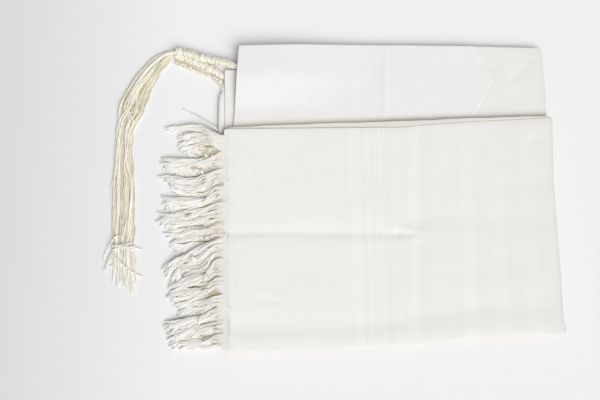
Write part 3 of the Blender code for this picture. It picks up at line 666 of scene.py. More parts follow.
# Wide soft hollows of the top cloth, in the same columns.
TOP_HOLLOWS = (
    (240, 210, 1180, -370, 8, 1950, -350, 7.5, 3100, -380, 2),
    (280, 190, -1400, -1900, 10, 300, -1860, 9.5, 1100, -1740, 8.5, 1800, -1650, 9.5, 3000,
     -1600, 6),
    (170, 110, 1240, 930, 7, 1205, -500, 7, 1170, -2050, 5.5),
    (160, 160, -200, 400, 2.2, 700, 330, 2.2),
    (180, 180, 2000, 100, 2.4, 3000, 200, 2.4),
    (150, 120, -1200, -2080, -2.5, 2900, -1880, -2.5),
)
TOP_WAVER = ((0.16, 310, 12, 0.4), (0.12, 190, 74, 2.1), (0.1, 110, -35, 4), (0.06, 67, 20, 1.3),
             (0.05, 49, 103, 5.2), (0.03, 31, 58, 0.8))
NECK_CREASES = (
    (55, 45, 785, 2180, -4.5, 770, 1150, -7.5),
    (40, 40, 800, 1150, 6, 803, 1120, 6),
    (80, 80, 2180, 1960, 8, 2320, 1840, 9, 2420, 1600, 5),
    (110, 110, 2640, 1700, 5, 2900, 1980, 6),
    (90, 90, 2500, 1900, -5, 2600, 1600, -5),
    (170, 170, -600, 1600, 2.5, 500, 1560, 2.5),
    (140, 140, -1300, 1300, 2.2, -400, 1340, 2.2),
)
NECK_WAVER = ((0.14, 270, 8, 1), (0.1, 150, -40, 2.6), (0.07, 83, 70, 0.3), (0.04, 45, 15, 3.3),
              (0.03, 29, 110, 1.9))


def creased(x, y, creases, power=1.3):
    """What a table of creases adds to a surface. A higher power makes them rounder."""
    height = np.zeros_like(x)
    for left, right, *route in creases:
        route = points_of(route)
        nearest, depth = np.full_like(x, 99.0), np.zeros_like(x)
        for (start_x, start_y, start_depth), (end_x, end_y, end_depth) in zip(route, route[1:]):
            run_x, run_y = end_x - start_x, end_y - start_y
            away_x, away_y = x - start_x, y - start_y
            share = (away_x * run_x + away_y * run_y) / (run_x ** 2 + run_y ** 2)
            share = np.clip(share, 0.0, 1.0)
            reach = np.where(run_x * away_y - run_y * away_x > 0.0, left, right) / TENTHS
            distance = np.hypot(away_x - share * run_x, away_y - share * run_y) / reach
            depth = np.where(distance < nearest, start_depth + share * (end_depth - start_depth),
                             depth)
            nearest = np.minimum(nearest, distance)
        height -= depth * np.exp(-2.0 * nearest ** power)
    return height


def edge_droop(inside):
    """How far the top cloth falls towards its fringed edge, which is a distance away."""
    return 0.45 * MM * np.exp(-inside / (3.0 * MM)) + 0.3 * MM * np.exp(-(inside / 0.015) ** 2)


def edge_lip(x, y, right):
    """How far a cloth rises towards its folded right side."""
    return 1.7 * MM * np.exp(-np.maximum(read(right, y) - x, 0.0) / (2.6 * MM))


def top_hollow(x, y):
    """What the creases, hollows and soft waves add to the top cloth's height."""
    return (creased(x, y, TOP_CREASES) + creased(x, y, TOP_HOLLOWS, 2.0)
            + waver(x, y, TOP_WAVER))


def neck_top(x, y):
    return creased(x, y, NECK_CREASES) + waver(x, y, NECK_WAVER) + neck_swell(x, y)


def neck_groove(x, y):
    """The neck cloth rises a little where it goes under the pile's edge."""
    depth = (-1.6 - 0.9 * ease(0.060, 0.090, x)) * MM
    return depth * np.exp(-np.maximum(y - read(LAYER_EDGE, x), 0.0) / (2.2 * MM))


def neck_shade(x, y):
    """The painted shade on the neck cloth and its band in the gap beside the pile."""
    away = np.maximum(y - read(LAYER_EDGE, x) - 1.5 * MM, 0.0)
    wide = 0.40 - 0.20 * ease(0.190, 0.215, x)
    reach = (6.8 - 1.8 * ease(-0.046, 0.150, x)) * MM
    return wide * np.exp(-(away / reach) ** 3) + 0.30 * np.exp(-(away / (1.5 * MM)) ** 2)


def point_shade(x, y):
    """The neck cloth's painted shade beside the upper side of the band's point, and in the gap."""
    away = np.maximum(x - read(BAND_POINT, y), 0.0)
    upper = ease(0.140, 0.150, y) * (1.0 - ease(0.185, 0.200, y))
    return np.maximum(neck_shade(x, y), 0.24 * upper * np.exp(-(away / (3.5 * MM)) ** 2))


# Extra columns of a cloth close to its folded right side.
NEAR_RIGHT = (0.0012, 0.0038, 0.0050, 0.0075)


def build_top_cloth():
    """The top layer of the pile: its cut edge is on the left, and its other sides are folds."""
    base = PILE_LAYERS_TOP + 0.3 * MM

    def levels(x, y, edge):
        inside = np.abs(x - read(PILE_LEFT, y))
        droop = np.maximum(0.5 * MM * np.exp(-edge / (5.0 * MM)), edge_droop(inside))
        droop -= 0.15 * MM * np.sin(y / 0.0047) * np.exp(-inside / 0.012)
        return base, TOP_CLOTH_TOP + top_hollow(x, y) - droop + edge_lip(x, y, PILE_RIGHT)

    return add_cloth("top_cloth", "front_panel", striped, 0.7 * MM,
                     Area(PILE_LEFT, PILE_RIGHT, PILE_FRONT, PILE_BACK, 3.0 * MM),
                     (spread(168, last=NEAR_RIGHT), spread(118)),
                     folded_sides((TOP_CLOTH_TOP - base) / 2, (0, 1, 1, 1), 4.0 * MM), levels)


def build_neck_cloth():
    base = NECK_LAYERS_TOP + 0.3 * MM

    def levels(x, y, edge):
        droop = 0.3 * MM * np.exp(-edge / (4.0 * MM)) + neck_groove(x, y)
        top = NECK_CLOTH_TOP + neck_top(x, y) + 0.7 * edge_lip(x, y, NECK_RIGHT) - droop
        return base + neck_swell(x, y), top

    return add_cloth("neck_cloth", "neck_panel", neck_wool, 0.5 * MM,
                     Area(NECK_LEFT, NECK_RIGHT, NECK_FRONT, NECK_BACK, 3.0 * MM),
                     (spread(170, last=NEAR_RIGHT), spread(70, 0.012)),
                     folded_sides((NECK_CLOTH_TOP - base) / 2, (1, 1, 0, 1), 4.0 * MM), levels,
                     point_shade)


def build_neck_band():
    def levels(x, y, edge):
        cloth = neck_top(x, y) - neck_groove(x, y)
        return BAND_BASE + cloth, BAND_TOP + cloth - 0.12 * MM * np.exp(-edge / (2.0 * MM))

    return add_cloth("neck_band_silk", "neck_band", silk, 0.35 * MM,
                     Area(NECK_LEFT, BAND_POINT, NECK_FRONT, NECK_BACK, 2.0 * MM, 0.6 * MM),
                     (spread(126, last=(0.0010, 0.0030)), spread(70, 0.012)),
                     folded_sides((BAND_TOP - BAND_BASE) / 2, (1, 1, 0, 1), 3.0 * MM, 5), levels,
                     neck_shade, 0.3)


def build_corner_cloth():
    """The hemmed corner of the cloth that sticks out beside the neck cloth."""
    base = CORNER_REST + 0.3 * MM

    def levels(x, y, edge):
        hem = 0.35 * MM * ease(CORNER_HEM - 9.0 * MM, CORNER_HEM - 7.5 * MM, y)
        side = 0.30 * MM * (1.0 - ease(-0.1515, -0.1500, x))
        beside = np.exp(-np.maximum(read(NECK_LEFT, y) - x, 0.0) / (2.5 * MM))
        top = base + (2.1 + 1.2 * beside) * MM + hem + side
        return base, top + waver(x, y, ((0.10, 45, 80, 0.4), (0.06, 19, 70, 2.0)))

    # Painted shade along the line where the neck cloth's left edge lies over the corner cloth.
    def shade(x, y):
        return 0.7 * np.exp(-((read(NECK_LEFT, y) - x) / (2.2 * MM)) ** 2)

    return add_cloth("corner_cloth", "corner_panel", plain, 0.45 * MM,
                     Area(CORNER_LEFT, ((0.0, CORNER_RIGHT),), ((0.0, 0.094),),
                          ((0.0, CORNER_HEM),), 2.0 * MM, 0.0),
                     (spread(60, 0.02), spread(48, 0.012)),
                     folded_sides(0.7 * MM, (1, 0, 0, 1), 3.0 * MM, 5), levels, shade)


def build_rolled_cloth():
    """A layer that lies under the corner and rolls over beside it, to a point at its end."""
    angles = np.linspace(-0.5 * math.pi, 0.96 * math.pi, 25)
    flat_x = np.sign(np.cos(angles)) * np.abs(np.cos(angles)) ** 0.62
    flat_z = np.sign(np.sin(angles)) * np.abs(np.sin(angles)) ** 0.75
    points, faces = [], []
    rest = 0.4 * MM
    stations = np.linspace(ROLL_LEFT[0][0], ROLL_LEFT[-1][0], 60)
    for y in stations:
        crest = read(ROLL_CREST, y)
        wide = (ROLL_RIGHT - read(ROLL_LEFT, y)) / 2.0 * (1.0 - 0.55 * ease(0.148, 0.159, y))
        points += [(ROLL_RIGHT - wide - wide * way_x, y,
                    rest + (crest - rest) * (0.5 + 0.5 * way_z))
                   for way_x, way_z in zip(flat_x, flat_z)]
        points.append((ROLL_RIGHT + 4.0 * MM, y, 5.4 * MM))
    count = len(angles) + 1
    for row in range(len(stations) - 1):
        faces += [(corner, corner + 1, corner + count + 1, corner + count)
                  for corner in range(row * count, row * count + count - 1)]
    # The roll's low side is painted with shade.
    deep = 0.9 * (1.0 - ease(0.5 * MM, 4.5 * MM, np.array(points)[:, 2]))
    return add_piece("rolled_cloth", points, faces, plain, ["rolled_fold"], deep,
                     0.6 * MM)


def build_layers():
    """The hidden layers of the one folded cloth, as rolled folds on each other."""
    def lifted(x, y, z):
        return neck_swell(x, y) * (z - CORNER_REST) / (NECK_LAYERS_TOP - CORNER_REST)

    hidden = NECK_FRONT - (0.0, 0.030)
    inner = ((0.0, CORNER_RIGHT + 0.5 * MM),)
    wide_grid = spread(80), spread(30, 0.02)
    solids = [layered_solid(Area(*lines, rounding), folds, grid, base, lift, seed)
              for lines, rounding, folds, grid, base, lift, seed in (
                  ((PILE_LEFT, PILE_RIGHT, PILE_FRONT, LAYER_EDGE), 4.0 * MM, PILE_FOLDS,
                   (spread(90), spread(60)), 0.0, None, 4),
                  ((NECK_LEFT, NECK_RIGHT, hidden, NECK_BACK), 3.0 * MM, NECK_LOW_FOLDS,
                   wide_grid, 0.0, None, 9),
                  ((inner, NECK_RIGHT, hidden, NECK_BACK), 2.0 * MM, NECK_HIGH_FOLDS,
                   wide_grid, CORNER_REST, lifted, 2),
                  ((NECK_LEFT, inner, ((0.0, 0.1990),), NECK_BACK), 2.0 * MM, NECK_HIGH_FOLDS,
                   (spread(14, 0.03), spread(10, 0.05)), CORNER_REST, lifted, 3))]
    # The pile's top layer rises towards the cloth on it along the right half of the back.
    pile = solids[0][0]
    x, y, z = pile.T
    pile[:, 2] += (1.3 * MM * ease(-0.010, 0.120, x) * ease(12.6 * MM, 14.0 * MM, z)
                   * ease(-0.020, -0.010, y - read(LAYER_EDGE, x)))
    faces, count = [], 0
    for body_points, body_faces in solids:
        faces += [tuple(corner + count for corner in face) for face in body_faces]
        count += len(body_points)
    points = np.concatenate([body_points for body_points, _ in solids])
    # The hidden layers are painted with shade below 12 mm up, most of it below 8 mm.
    add_piece("layer_folds", points, faces, folded, ["folded_layers"],
              0.9 * (1.0 - ease(8.0 * MM, 12.0 * MM, points[:, 2])))


# ---- edge fringe

# The locks of the fringe: a root's two ends along the cloth's edge and its height; the middle
# line, as x, y and half width in turn; and the tips of the strands, as x and y in turn.
UPPER_LOCKS = (
    ((765, 852, 70), (-1741, 885, 50, -1888, 957, 44, -2064, 995, 35, -2255, 990, 26),
     (-2434, 996, -2403, 951, -2330, 936)),
    ((622, 785, 65), (-1725, 775, 65, -1857, 807, 94, -2003, 802, 116, -2134, 782, 116),
     (-2227, 891, -2248, 832, -2239, 757, -2244, 698, -2207, 638)),
    ((359, 629, 80), (-1632, 506, 101, -1762, 471, 65, -1878, 458, 49, -2023, 459, 72, -2212, 460,
     87, -2343, 454, 87),
     (-2480, 542, -2493, 476, -2462, 409, -2403, 358)),
    ((162, 373, 85), (-1628, 271, 101, -1743, 199, 130, -1858, 142, 144, -1987, 129, 144, -2147,
     159, 115, -2307, 190, 79),
     (-2531, 262, -2428, 211, -2354, 137, -2266, 79, -2077, -9)),
    ((-133, 108, 75), (-1626, 25, 115, -1725, -54, 79, -1811, -89, 52, -1969, -110, 69, -2156,
     -116, 79, -2315, -93, 72),
     (-2466, -16, -2435, -67, -2448, -133, -2389, -183, -2302, -227)),
    ((-412, -119, 80), (-1621, -236, 129, -1750, -275, 130, -1893, -312, 142, -2064, -340, 126,
     -2236, -355, 107, -2366, -347, 86),
     (-2517, -256, -2472, -314, -2527, -393, -2469, -444, -2367, -487, -2239, -487)),
    ((-633, -426, 55), (-1634, -506, 90, -1748, -535, 85, -1905, -578, 90, -2076, -602, 88, -2219,
     -612, 75),
     (-2423, -545, -2379, -602, -2320, -688, -2206, -674)),
    ((-894, -618, 85), (-1613, -752, 114, -1740, -823, 121, -1896, -908, 162, -2066, -965, 160,
     -2221, -1033, 120),
     (-2431, -1066, -2394, -1130, -2364, -1186, -2292, -1257, -2192, -1285, -2107, -1257)),
    ((-1195, -915, 75), (-1609, -1049, 113, -1708, -1119, 71, -1792, -1175, 48, -1947, -1217, 78,
     -2102, -1273, 78, -2215, -1315, 63),
     (-2320, -1271, -2332, -1327, -2303, -1377, -2190, -1377)),
    ((-1418, -1182, 65), (-1635, -1274, 71, -1748, -1330, 49, -1888, -1378, 49, -2058, -1392, 49,
     -2200, -1406, 49),
     (-2350, -1461, -2316, -1412, -2258, -1468)),
    ((-1612, -1425, 55), (-1674, -1526, 70, -1787, -1567, 84, -1914, -1609, 77, -2012, -1636, 63),
     (-2142, -1622, -2183, -1678, -2098, -1706, -1999, -1720)),
    ((-1805, -1585, 85), (-1585, -1680, 98, -1697, -1721, 70, -1823, -1762, 56, -2006, -1797, 70,
     -2174, -1838, 70),
     (-2362, -1810, -2389, -1859, -2360, -1921, -2275, -1956)),
    ((-1970, -1778, 70), (-1583, -1873, 84, -1709, -1901, 77, -1864, -1921, 77, -2032, -1949, 84,
     -2172, -1997, 77),
     (-2344, -1970, -2328, -2053, -2285, -2122, -2173, -2108)),
    ((-2174, -1970, 75), (-1594, -2052, 84, -1706, -2087, 70, -1832, -2107, 53, -1972, -2114, 56,
     -2113, -2121, 63),
     (-2298, -2143, -2255, -2184, -2143, -2198, -2003, -2191)),
)
LOWER_LOCKS = (
    ((506, 802, 40), (-1682, 633, 101, -1769, 612, 65, -1871, 642, 72, -1989, 688, 80, -2105, 696,
     80),
     (-2238, 713, -2229, 653, -2148, 601, -2045, 549, -1944, 549)),
    ((243, 536, 34), (-1679, 413, 108, -1809, 384, 72, -1968, 355, 58, -2112, 341, 65, -2257, 349,
     65),
     (-2447, 372, -2402, 328, -2344, 299, -2227, 269)),
    ((-77, 243, 30), (-1674, 76, 122, -1803, 33, 86, -1976, 19, 65, -2135, 20, 57),
     (-2295, 93, -2301, 35, -2264, -23, -2163, -38, -2047, -67)),
    ((-366, -48, 30), (-1670, -186, 122, -1814, -185, 86, -2015, -184, 72, -2188, -191, 64),
     (-2390, -176, -2417, -227, -2358, -270, -2272, -299, -2156, -328)),
    ((-652, -337, 34), (-1665, -489, 121, -1793, -518, 78, -1965, -517, 57, -2137, -531, 57),
     (-2325, -473, -2352, -530, -2294, -573, -2207, -602, -2093, -616)),
    ((-908, -624, 30), (-1661, -747, 114, -1804, -746, 85, -1975, -739, 64, -2146, -774, 64),
     (-2319, -710, -2318, -767, -2259, -831, -2145, -845, -2031, -845)),
    ((-1162, -880, 30), (-1657, -1017, 113, -1798, -1088, 78, -1967, -1144, 71, -2108, -1201, 64),
     (-2249, -1243, -2234, -1299, -2135, -1313, -2051, -1257, -1966, -1229)),
    ((-1499, -1134, 45), (-1636, -1315, 127, -1734, -1385, 77, -1819, -1427, 70, -1959, -1490,
     106, -2100, -1539, 112),
     (-2336, -1468, -2285, -1524, -2242, -1573, -2198, -1622, -2070, -1678, -1987, -1622)),
    ((-1804, -1443, 32), (-1647, -1623, 126, -1773, -1678, 84, -1900, -1692, 56, -2041, -1706, 56),
     (-2183, -1664, -2196, -1720, -2111, -1762, -2012, -1762, -1899, -1776)),
    ((-2162, -1776, 32), (-1641, -1970, 140, -1781, -2011, 98, -1922, -2025, 84, -2062, -2053, 84),
     (-2259, -2039, -2278, -2108, -2200, -2163, -2087, -2191, -1947, -2191, -1807, -2191)),
)
# Heights of the roots, and how far inside the cloth's edge they lie.
UPPER_ROOT, LOWER_ROOT = 15.6 * MM, 5.0 * MM
UPPER_INSIDE, LOWER_INSIDE = 0.4 * MM, 3.0 * MM
# How much painted shade the lower fringe's roots get, for the shade of the upper fringe over them.
LOWER_SHADE = 0.9
THREAD, THREADS_IN_STRAND = 0.74 * MM, 12
WEB_PITCH, BACK_PITCH, BACK_THREAD = 1.05 * MM, 1.15 * MM, 0.90 * MM
GAP_THREADS = 16
# Ties on the locks, each a thick yarn wound round: x, y, z, direction in degrees, size.
UPPER_TIES = ((-1720, 551, 112, 28, 27), (-1822, 575, 98, 10, 27), (-1772, 654, 106, 62, 25),
              (-1962, 353, 96, 78, 33), (-1880, 335, 86, 30, 30), (-1815, -90, 96, 16, 36),
              (-1630, -55, 156, 100, 24), (-2054, -331, 102, 75, 32), (-1978, -909, 110, 40, 30),
              (-1795, -1175, 92, 30, 36), (-1850, -1760, 98, 10, 38), (-1622, -1928, 146, 100, 26),
              (-1774, -2066, 98, 60, 34))
LOWER_TIES = ((-1793, -1373, 92, 80, 36), (-1788, -621, 80, 10, 32))


def edge_at(spot, inside):
    """The x of a place that lies inside the top cloth's fringed edge."""
    return float(read(PILE_LEFT, spot)) + inside


def sunk_at(x, y):
    """How far the top cloth's creases lift one place on it."""
    return top_hollow(np.array([x]), np.array([y]))[0]


def on_cloth(over, lift, sunk):
    """The height just over the top cloth, at a distance from its fringed edge."""
    return TOP_CLOTH_TOP - edge_droop(over) + lift * MM + sunk


def sideways(runs):
    """Level directions across some runs, all of them towards +Y."""
    across = unit(np.column_stack((runs[:, 1], -runs[:, 0])))
    return across * np.where(across[:, 1:] < 0, -1.0, 1.0)


def build_lock(yarn, lock, root_height, inside, shade, chance):
    """One lock: threads from the cloth's edge, gathered into strands that end in ragged tips.

    shade says how much painted shade its root gets. It is 0 for a lock of the top cloth.
    """
    root_from, root_to, level = metres(*lock[0])
    stations, tips = points_of(lock[1]), points_of(lock[2], 2)
    strands = len(tips)
    across = sideways(np.gradient(stations[:, :2], axis=0))
    low_first = sorted(tips, key=lambda tip: tip[1] * 2.0 - tip[0] * across[-1][0])
    sway = chance.uniform(0.0, 6.28)
    for strand, tip in enumerate(low_first):
        lane = (strand + 0.5) / strands * 2.0 - 1.0
        spot = root_from + (root_to - root_from) * (lane * 0.5 + 0.5)
        rise = chance.uniform(-0.5, 0.9) * MM
        points = [(edge_at(spot, inside), spot, root_height)]
        for number, (x, y, wide) in enumerate(stations):
            shift = lane * wide * 0.80 + 0.16 * wide * math.sin(sway + 1.9 * number + 2.2 * strand)
            settle = level * (1.0 - 0.42 * number / (len(stations) - 1))
            if number < 2:
                settle = root_height + (settle - root_height) * (0.30, 0.78)[number]
            points.append((*((x, y) + across[number] * shift), settle + rise))
        points.append((*tip, 1.7 * MM))
        size = 0.72 * float(np.mean(stations[:, 2])) / strands * 2.0 + 0.6 * MM
        build_strand(yarn, smooth(points, 4.6 * MM), size, (root_from, root_to, lane, strands),
                     inside, shade, chance)
    if shade == 0.0:
        build_web(yarn, root_from, root_to, level, stations, across, inside, chance)
    return root_from, root_to, stations[2]


def build_web(yarn, root_from, root_to, level, stations, across, inside, chance):
    """The even threads just outside the cloth's edge, under a lock's strands."""
    for spot in np.arange(root_from + 0.5 * MM, root_to, WEB_PITCH):
        lane = (spot - root_from) / (root_to - root_from) * 2.0 - 1.0
        edge = edge_at(spot, inside)
        over = chance.uniform(2.0, 10.0) * MM
        sunk = sunk_at(edge, spot)
        points = [(edge + over, spot, on_cloth(over, 0.05, sunk)), (edge, spot, UPPER_ROOT + sunk),
                  (edge - 2.5 * MM, spot, UPPER_ROOT - 0.7 * MM + sunk)]
        for number, fall, reach in ((0, 0.42, 1.0), (1, 1.30, 5.0)):
            x, y, wide = stations[number]
            z = UPPER_ROOT + (level - UPPER_ROOT) * fall - 0.8 * MM
            points.append((x + across[number][0] * lane * wide + chance.uniform(-reach, reach) * MM,
                           y + across[number][1] * lane * wide, z))
        path = smooth(points, 3.8 * MM)
        share = shares(path)
        # Painted shade: little near the cloth, more under the strands, and less again at the end.
        yarn.strand(path, THREAD * (0.25 + 0.75 * ease(0.0, 0.3, share)), 4,
                    0.08 + 0.50 * ease(0.50, 0.80, share) - 0.40 * ease(0.80, 1.0, share))


def build_gap(yarn, upper, lower, chance):
    """Threads that lie down between the roots of two locks that are next to each other."""
    for _ in range(GAP_THREADS):
        spot = chance.uniform(lower[1] - 3.0 * MM, upper[0] + 3.0 * MM)
        edge = edge_at(spot, UPPER_INSIDE)
        x, y, _ = chance.choice((upper, lower))[2]
        path = smooth([(edge, spot, UPPER_ROOT - 0.4 * MM),
                       (edge - 4.0 * MM, spot + chance.uniform(-0.6, 0.6) * MM, 13.8 * MM),
                       (edge - 10.0 * MM, spot * 0.75 + y * 0.25, 10.0 * MM),
                       (x - chance.uniform(-6.0, 9.0) * MM, spot * 0.45 + y * 0.55,
                        chance.uniform(3.0, 6.0) * MM)], 3.6 * MM)
        share = shares(path)
        # Painted shade grows along each thread and fades at its end.
        yarn.strand(path, THREAD * 1.1, 4,
                    0.15 + 0.5 * ease(0.1, 0.4, share) - 0.5 * ease(0.55, 0.95, share))


def build_strand(yarn, path, size, root, inside, shade, chance):
    """A soft strand: threads that turn slowly round its middle and part towards its end."""
    root_from, root_to, lane, strands = root
    runs, _, _ = frames_along(path)
    count, share = len(path), shares(path)
    across = np.column_stack((sideways(runs), np.zeros(count)))
    leave = ease(0.0, 0.34, share)[:, None]
    close = 1.0 - 0.35 * ease(0.55, 1.0, share) - 0.15 * (1.0 - ease(0.1, 0.4, share))
    turns = chance.uniform(1.1, 1.9)
    first = chance.uniform(0.0, 6.28)
    for number in range(THREADS_IN_STRAND):
        place = (number + 0.5) / THREADS_IN_STRAND
        reach = size * math.sqrt(chance.uniform(0.15, 1.0))
        angle = first + TURN * (place + turns * share) + 0.5 * np.sin(6.0 * share + 9.0 * place)
        wave = share * chance.uniform(3.0, 5.5) + chance.random()
        loose = 0.45 * MM * np.sin(TURN * wave)
        body = path + across * (np.cos(angle) * reach * close + loose)[:, None]
        body[:, 2] += np.sin(angle) * reach * close * 0.36
        half = (root_to - root_from) / 2.0
        spot = (root_from + root_to) / 2.0 + half * (lane + (place * 2.0 - 1.0) / strands)
        edge = edge_at(spot, inside)
        root_line = path.copy()
        root_line[:, 0] += edge - path[0][0]
        root_line[:, 1] = spot + 0.25 * (path[:, 1] - path[0][1])
        sunk = sunk_at(edge, spot) if shade == 0.0 else 0.0
        root_line[:, 2] += chance.uniform(-0.25, 0.15) * MM + sunk
        body = lay_on(root_line * (1.0 - leave) + body * leave, THREAD + 0.25 * MM)
        last = count - chance.choice((0, 0, 0, 1, 1, 2, 3))
        radii = THREAD * (1.0 - 0.45 * ease(0.86, 1.0, share))
        # The undersides of the threads get painted shade, less towards their tips, and a shaded
        # lock's root gets its painted shade too.
        under = 0.95 * np.clip(0.36 - 0.9 * np.sin(angle), 0.0, 1.0) * leave[:, 0]
        deep = under * (1.0 - ease(0.75, 0.95, share)) + shade * (1.0 - ease(0.18, 0.62, share))
        if shade == 0.0:
            # A fine end of the thread lies on the cloth, where it leaves the weave.
            over = chance.uniform(2.0, 9.0) * MM
            start = body[0] + (over, chance.uniform(-0.5, 0.5) * MM, 0.0)
            middle = body[0] + (over * 0.45, 0.0, 0.0)
            start[2], middle[2] = on_cloth(over, 0.05, sunk), on_cloth(over * 0.45, 0.10, sunk)
            body = np.vstack((start, middle, body))
            radii = np.concatenate(((0.10 * MM, 0.26 * MM), radii))
            # Near the root the threads, and their fine ends on the cloth, get a little painted
            # shade.
            deep = np.maximum(deep, 0.10 * (1.0 - ease(0.0, 0.22, share)))
            deep = np.concatenate(((0.03, 0.08), deep))
            last += 2
        yarn.strand(body[:last], radii[:last], 4, np.clip(deep[:last], 0.0, 1.0))
        if number % 2 == 0:
            add_hair(yarn, body[chance.randrange(3, last - 1)], runs[-1], chance)


def add_hair(yarn, start, run, chance):
    """One loose fibre that stands away from a strand."""
    reach = chance.uniform(4.0, 10.0) * MM
    turn = chance.uniform(-1.2, 1.2)
    way = np.array((run[0] * math.cos(turn) - run[1] * math.sin(turn),
                    run[0] * math.sin(turn) + run[1] * math.cos(turn), 0.0))
    middle = start + way * reach * 0.5 + UP * chance.uniform(0.2, 1.2) * MM
    end = start + way * reach + np.array((0.0, chance.uniform(-2.0, 2.0) * MM, 0.0))
    end[2] = max(0.4 * MM, start[2] * 0.8)
    yarn.strand(smooth([start, middle, end], 2.6 * MM), 0.12 * MM, sides=3)


def add_tie(yarn, tie, chance):
    """A thick yarn wound twice over a lock's neck."""
    x, y, z, direction, size = tie
    middle, size = np.array((x, y, z)) / TENTHS, size / TENTHS
    angle = math.radians(direction)
    way = np.array((math.cos(angle), math.sin(angle), 0.0))
    across = np.array((-way[1], way[0], 0.0))
    places = np.linspace(-0.15 * math.pi, 1.15 * math.pi, 14)
    for turn, slide in ((0, -0.34), (1, 0.34)):
        lean = chance.uniform(-0.5, 0.5)
        path = lay_on(np.array([middle + across * size * math.cos(place)
                                + UP * size * 0.62 * math.sin(place)
                                + way * size * (slide + lean * math.cos(place))
                                for place in places]), 1.6 * MM)
        # The lower side of each turn is painted with shade, and the rest with a little.
        low = np.clip((middle[2] + 0.1 * size - path[:, 2]) / (size * 0.4), 0.0, 0.9)
        yarn.plied(path, size * 0.34, 3, 9.0 * MM, 6, 0.4 * turn, np.maximum(low, 0.12))


def build_edge_fringe():
    chance = random.Random(21)
    upper = Yarn()
    roots = [build_lock(upper, lock, UPPER_ROOT, UPPER_INSIDE, 0.0, chance)
             for lock in UPPER_LOCKS]
    for above, below in zip(roots, roots[1:]):
        build_gap(upper, above, below, chance)
    # A close row of threads behind the locks closes the gaps between their roots. It is painted
    # with shade, which fades towards its outer end.
    for spot in np.arange(-0.2120, 0.0830, BACK_PITCH):
        edge = edge_at(spot, -0.6 * MM)
        fall = chance.uniform(-0.8, 0.8) * MM
        back = smooth([(edge, spot, 13.9 * MM),
                       (edge - 4.5 * MM, spot - 0.5 * MM, 12.6 * MM + fall),
                       (edge - 10.0 * MM, spot - 1.5 * MM, 10.0 * MM + fall),
                       (edge - 17.0 * MM, spot - 2.5 * MM, 6.8 * MM),
                       (edge - chance.uniform(24.0, 38.0) * MM,
                        spot - chance.uniform(1.0, 8.0) * MM, 2.6 * MM)], 5.0 * MM)
        fade = 1.0 - ease(0.45, 0.80, shares(back))
        upper.strand(back, BACK_THREAD, 4, 0.05 + chance.uniform(0.35, 0.75) * fade)
    for tie in UPPER_TIES:
        add_tie(upper, tie, chance)
    # One thin lock lies away from the others.
    for number in range(12):
        side = (number - 3.0) * 0.42 * MM
        fan = chance.uniform(0.6, 1.4) if number > 6 else 1.0
        thin = 0.42 * MM if number < 7 else 0.16 * MM
        upper.strand(smooth([(-0.1630, 0.0925 + side, 3.4 * MM),
                             (-0.1700, 0.0980 + side * 1.1, 4.6 * MM),
                             (-0.1800, 0.1050 + side * fan, 4.2 * MM),
                             (-0.1990, 0.1165 + side * fan * 1.2, 1.8 * MM),
                             (-0.2165 - side, 0.1285 - 0.0022 * fan * (number > 6), 1.1 * MM)],
                            4.0 * MM), thin)
    upper.piece("edge_fringe_upper", fringe_yarn, "fringe_yarn", ["fringe_upper"])
    lower = Yarn()
    for lock in LOWER_LOCKS:
        build_lock(lower, lock, LOWER_ROOT, LOWER_INSIDE, LOWER_SHADE, chance)
    for tie in LOWER_TIES:
        add_tie(lower, tie, chance)
    lower.piece("edge_fringe_lower", fringe_yarn, "fringe_yarn", ["fringe_lower"])


# ---- corner fringes

# The route of each wound head, from its hidden root. Columns: x, y, z, radius.
UPPER_HEAD = metres(
    (-1130, 1870, 84, 32), (-1400, 1912, 84, 38), (-1560, 1960, 76, 48), (-1735, 1998, 69, 53),
    (-1880, 2036, 66, 56), (-2030, 2080, 67, 57), (-2175, 2118, 70, 54), (-2290, 2146, 72, 46))
LOWER_HEAD = metres(
    (-1450, 1690, 23, 16), (-1580, 1752, 27, 21), (-1660, 1812, 42, 36), (-1760, 1870, 50, 45),
    (-1880, 1927, 53, 47), (-2030, 1994, 52, 47), (-2175, 2054, 50, 44), (-2300, 2086, 44, 34))
WINDINGS, HEAD_LUMPS, HEAD_FIBRES = 37, 520, 260
KNOT_PLACES = (0.05, 0.22, 0.42, 0.68, 0.96)
# The bundle of loose strings, down to its tie. Columns: x, y, half of its width.
BUNDLE = metres(
    (-2390, 2100, 62), (-2505, 2005, 98), (-2640, 1846, 124), (-2755, 1692, 142),
    (-2868, 1450, 172), (-2925, 1272, 178), (-2970, 1112, 132), (-3003, 962, 112),
    (-3017, 739, 108), (-3016, 480, 126), (-3001, 180, 138), (-2988, -180, 154),
    (-2984, -500, 158), (-2980, -747, 138))
# Where strings change sides together: the station's number, and how many of them do.
CROSSING, CROSSED = 6, 4
STRING_ENDS = metres(
    (-3239, -1115), (-3206, -1044), (-3120, -1271), (-3087, -1200), (-3040, -1341), (-3007, -1271),
    (-2981, -1200), (-2949, -1313), (-2919, -1355), (-2901, -1257), (-2853, -1440), (-2827, -1355),
    (-2803, -1440), (-2803, -1228), (-2765, -1073), (-2791, -1272))
STRING = 0.74 * MM
# One string bulges out on the left; the tying string's ends hang out on both sides.
STRINGS_OUT = (
    (-3090, 420, 45, -3132, 279, 34, -3168, 179, 22, -3186, 79, 12, -3170, -38, 16, -3118, -143,
     34, -3080, -260, 44),
    (-3080, -725, 80, -2933, -748, 82, -2827, -760, 44, -2759, -768, 16, -2710, -778, 12),
    (-3010, -600, 76, -3070, -590, 70, -3124, -640, 54, -3205, -775, 25, -3254, -888, 12, -3245,
     -959, 12, -3176, -1017, 13, -3100, -985, 16),
    (-3090, -760, 50, -3110, -850, 66, -3013, -964, 76, -2900, -1065, 54, -2800, -1125, 26,
     -2691, -1172, 12),
)
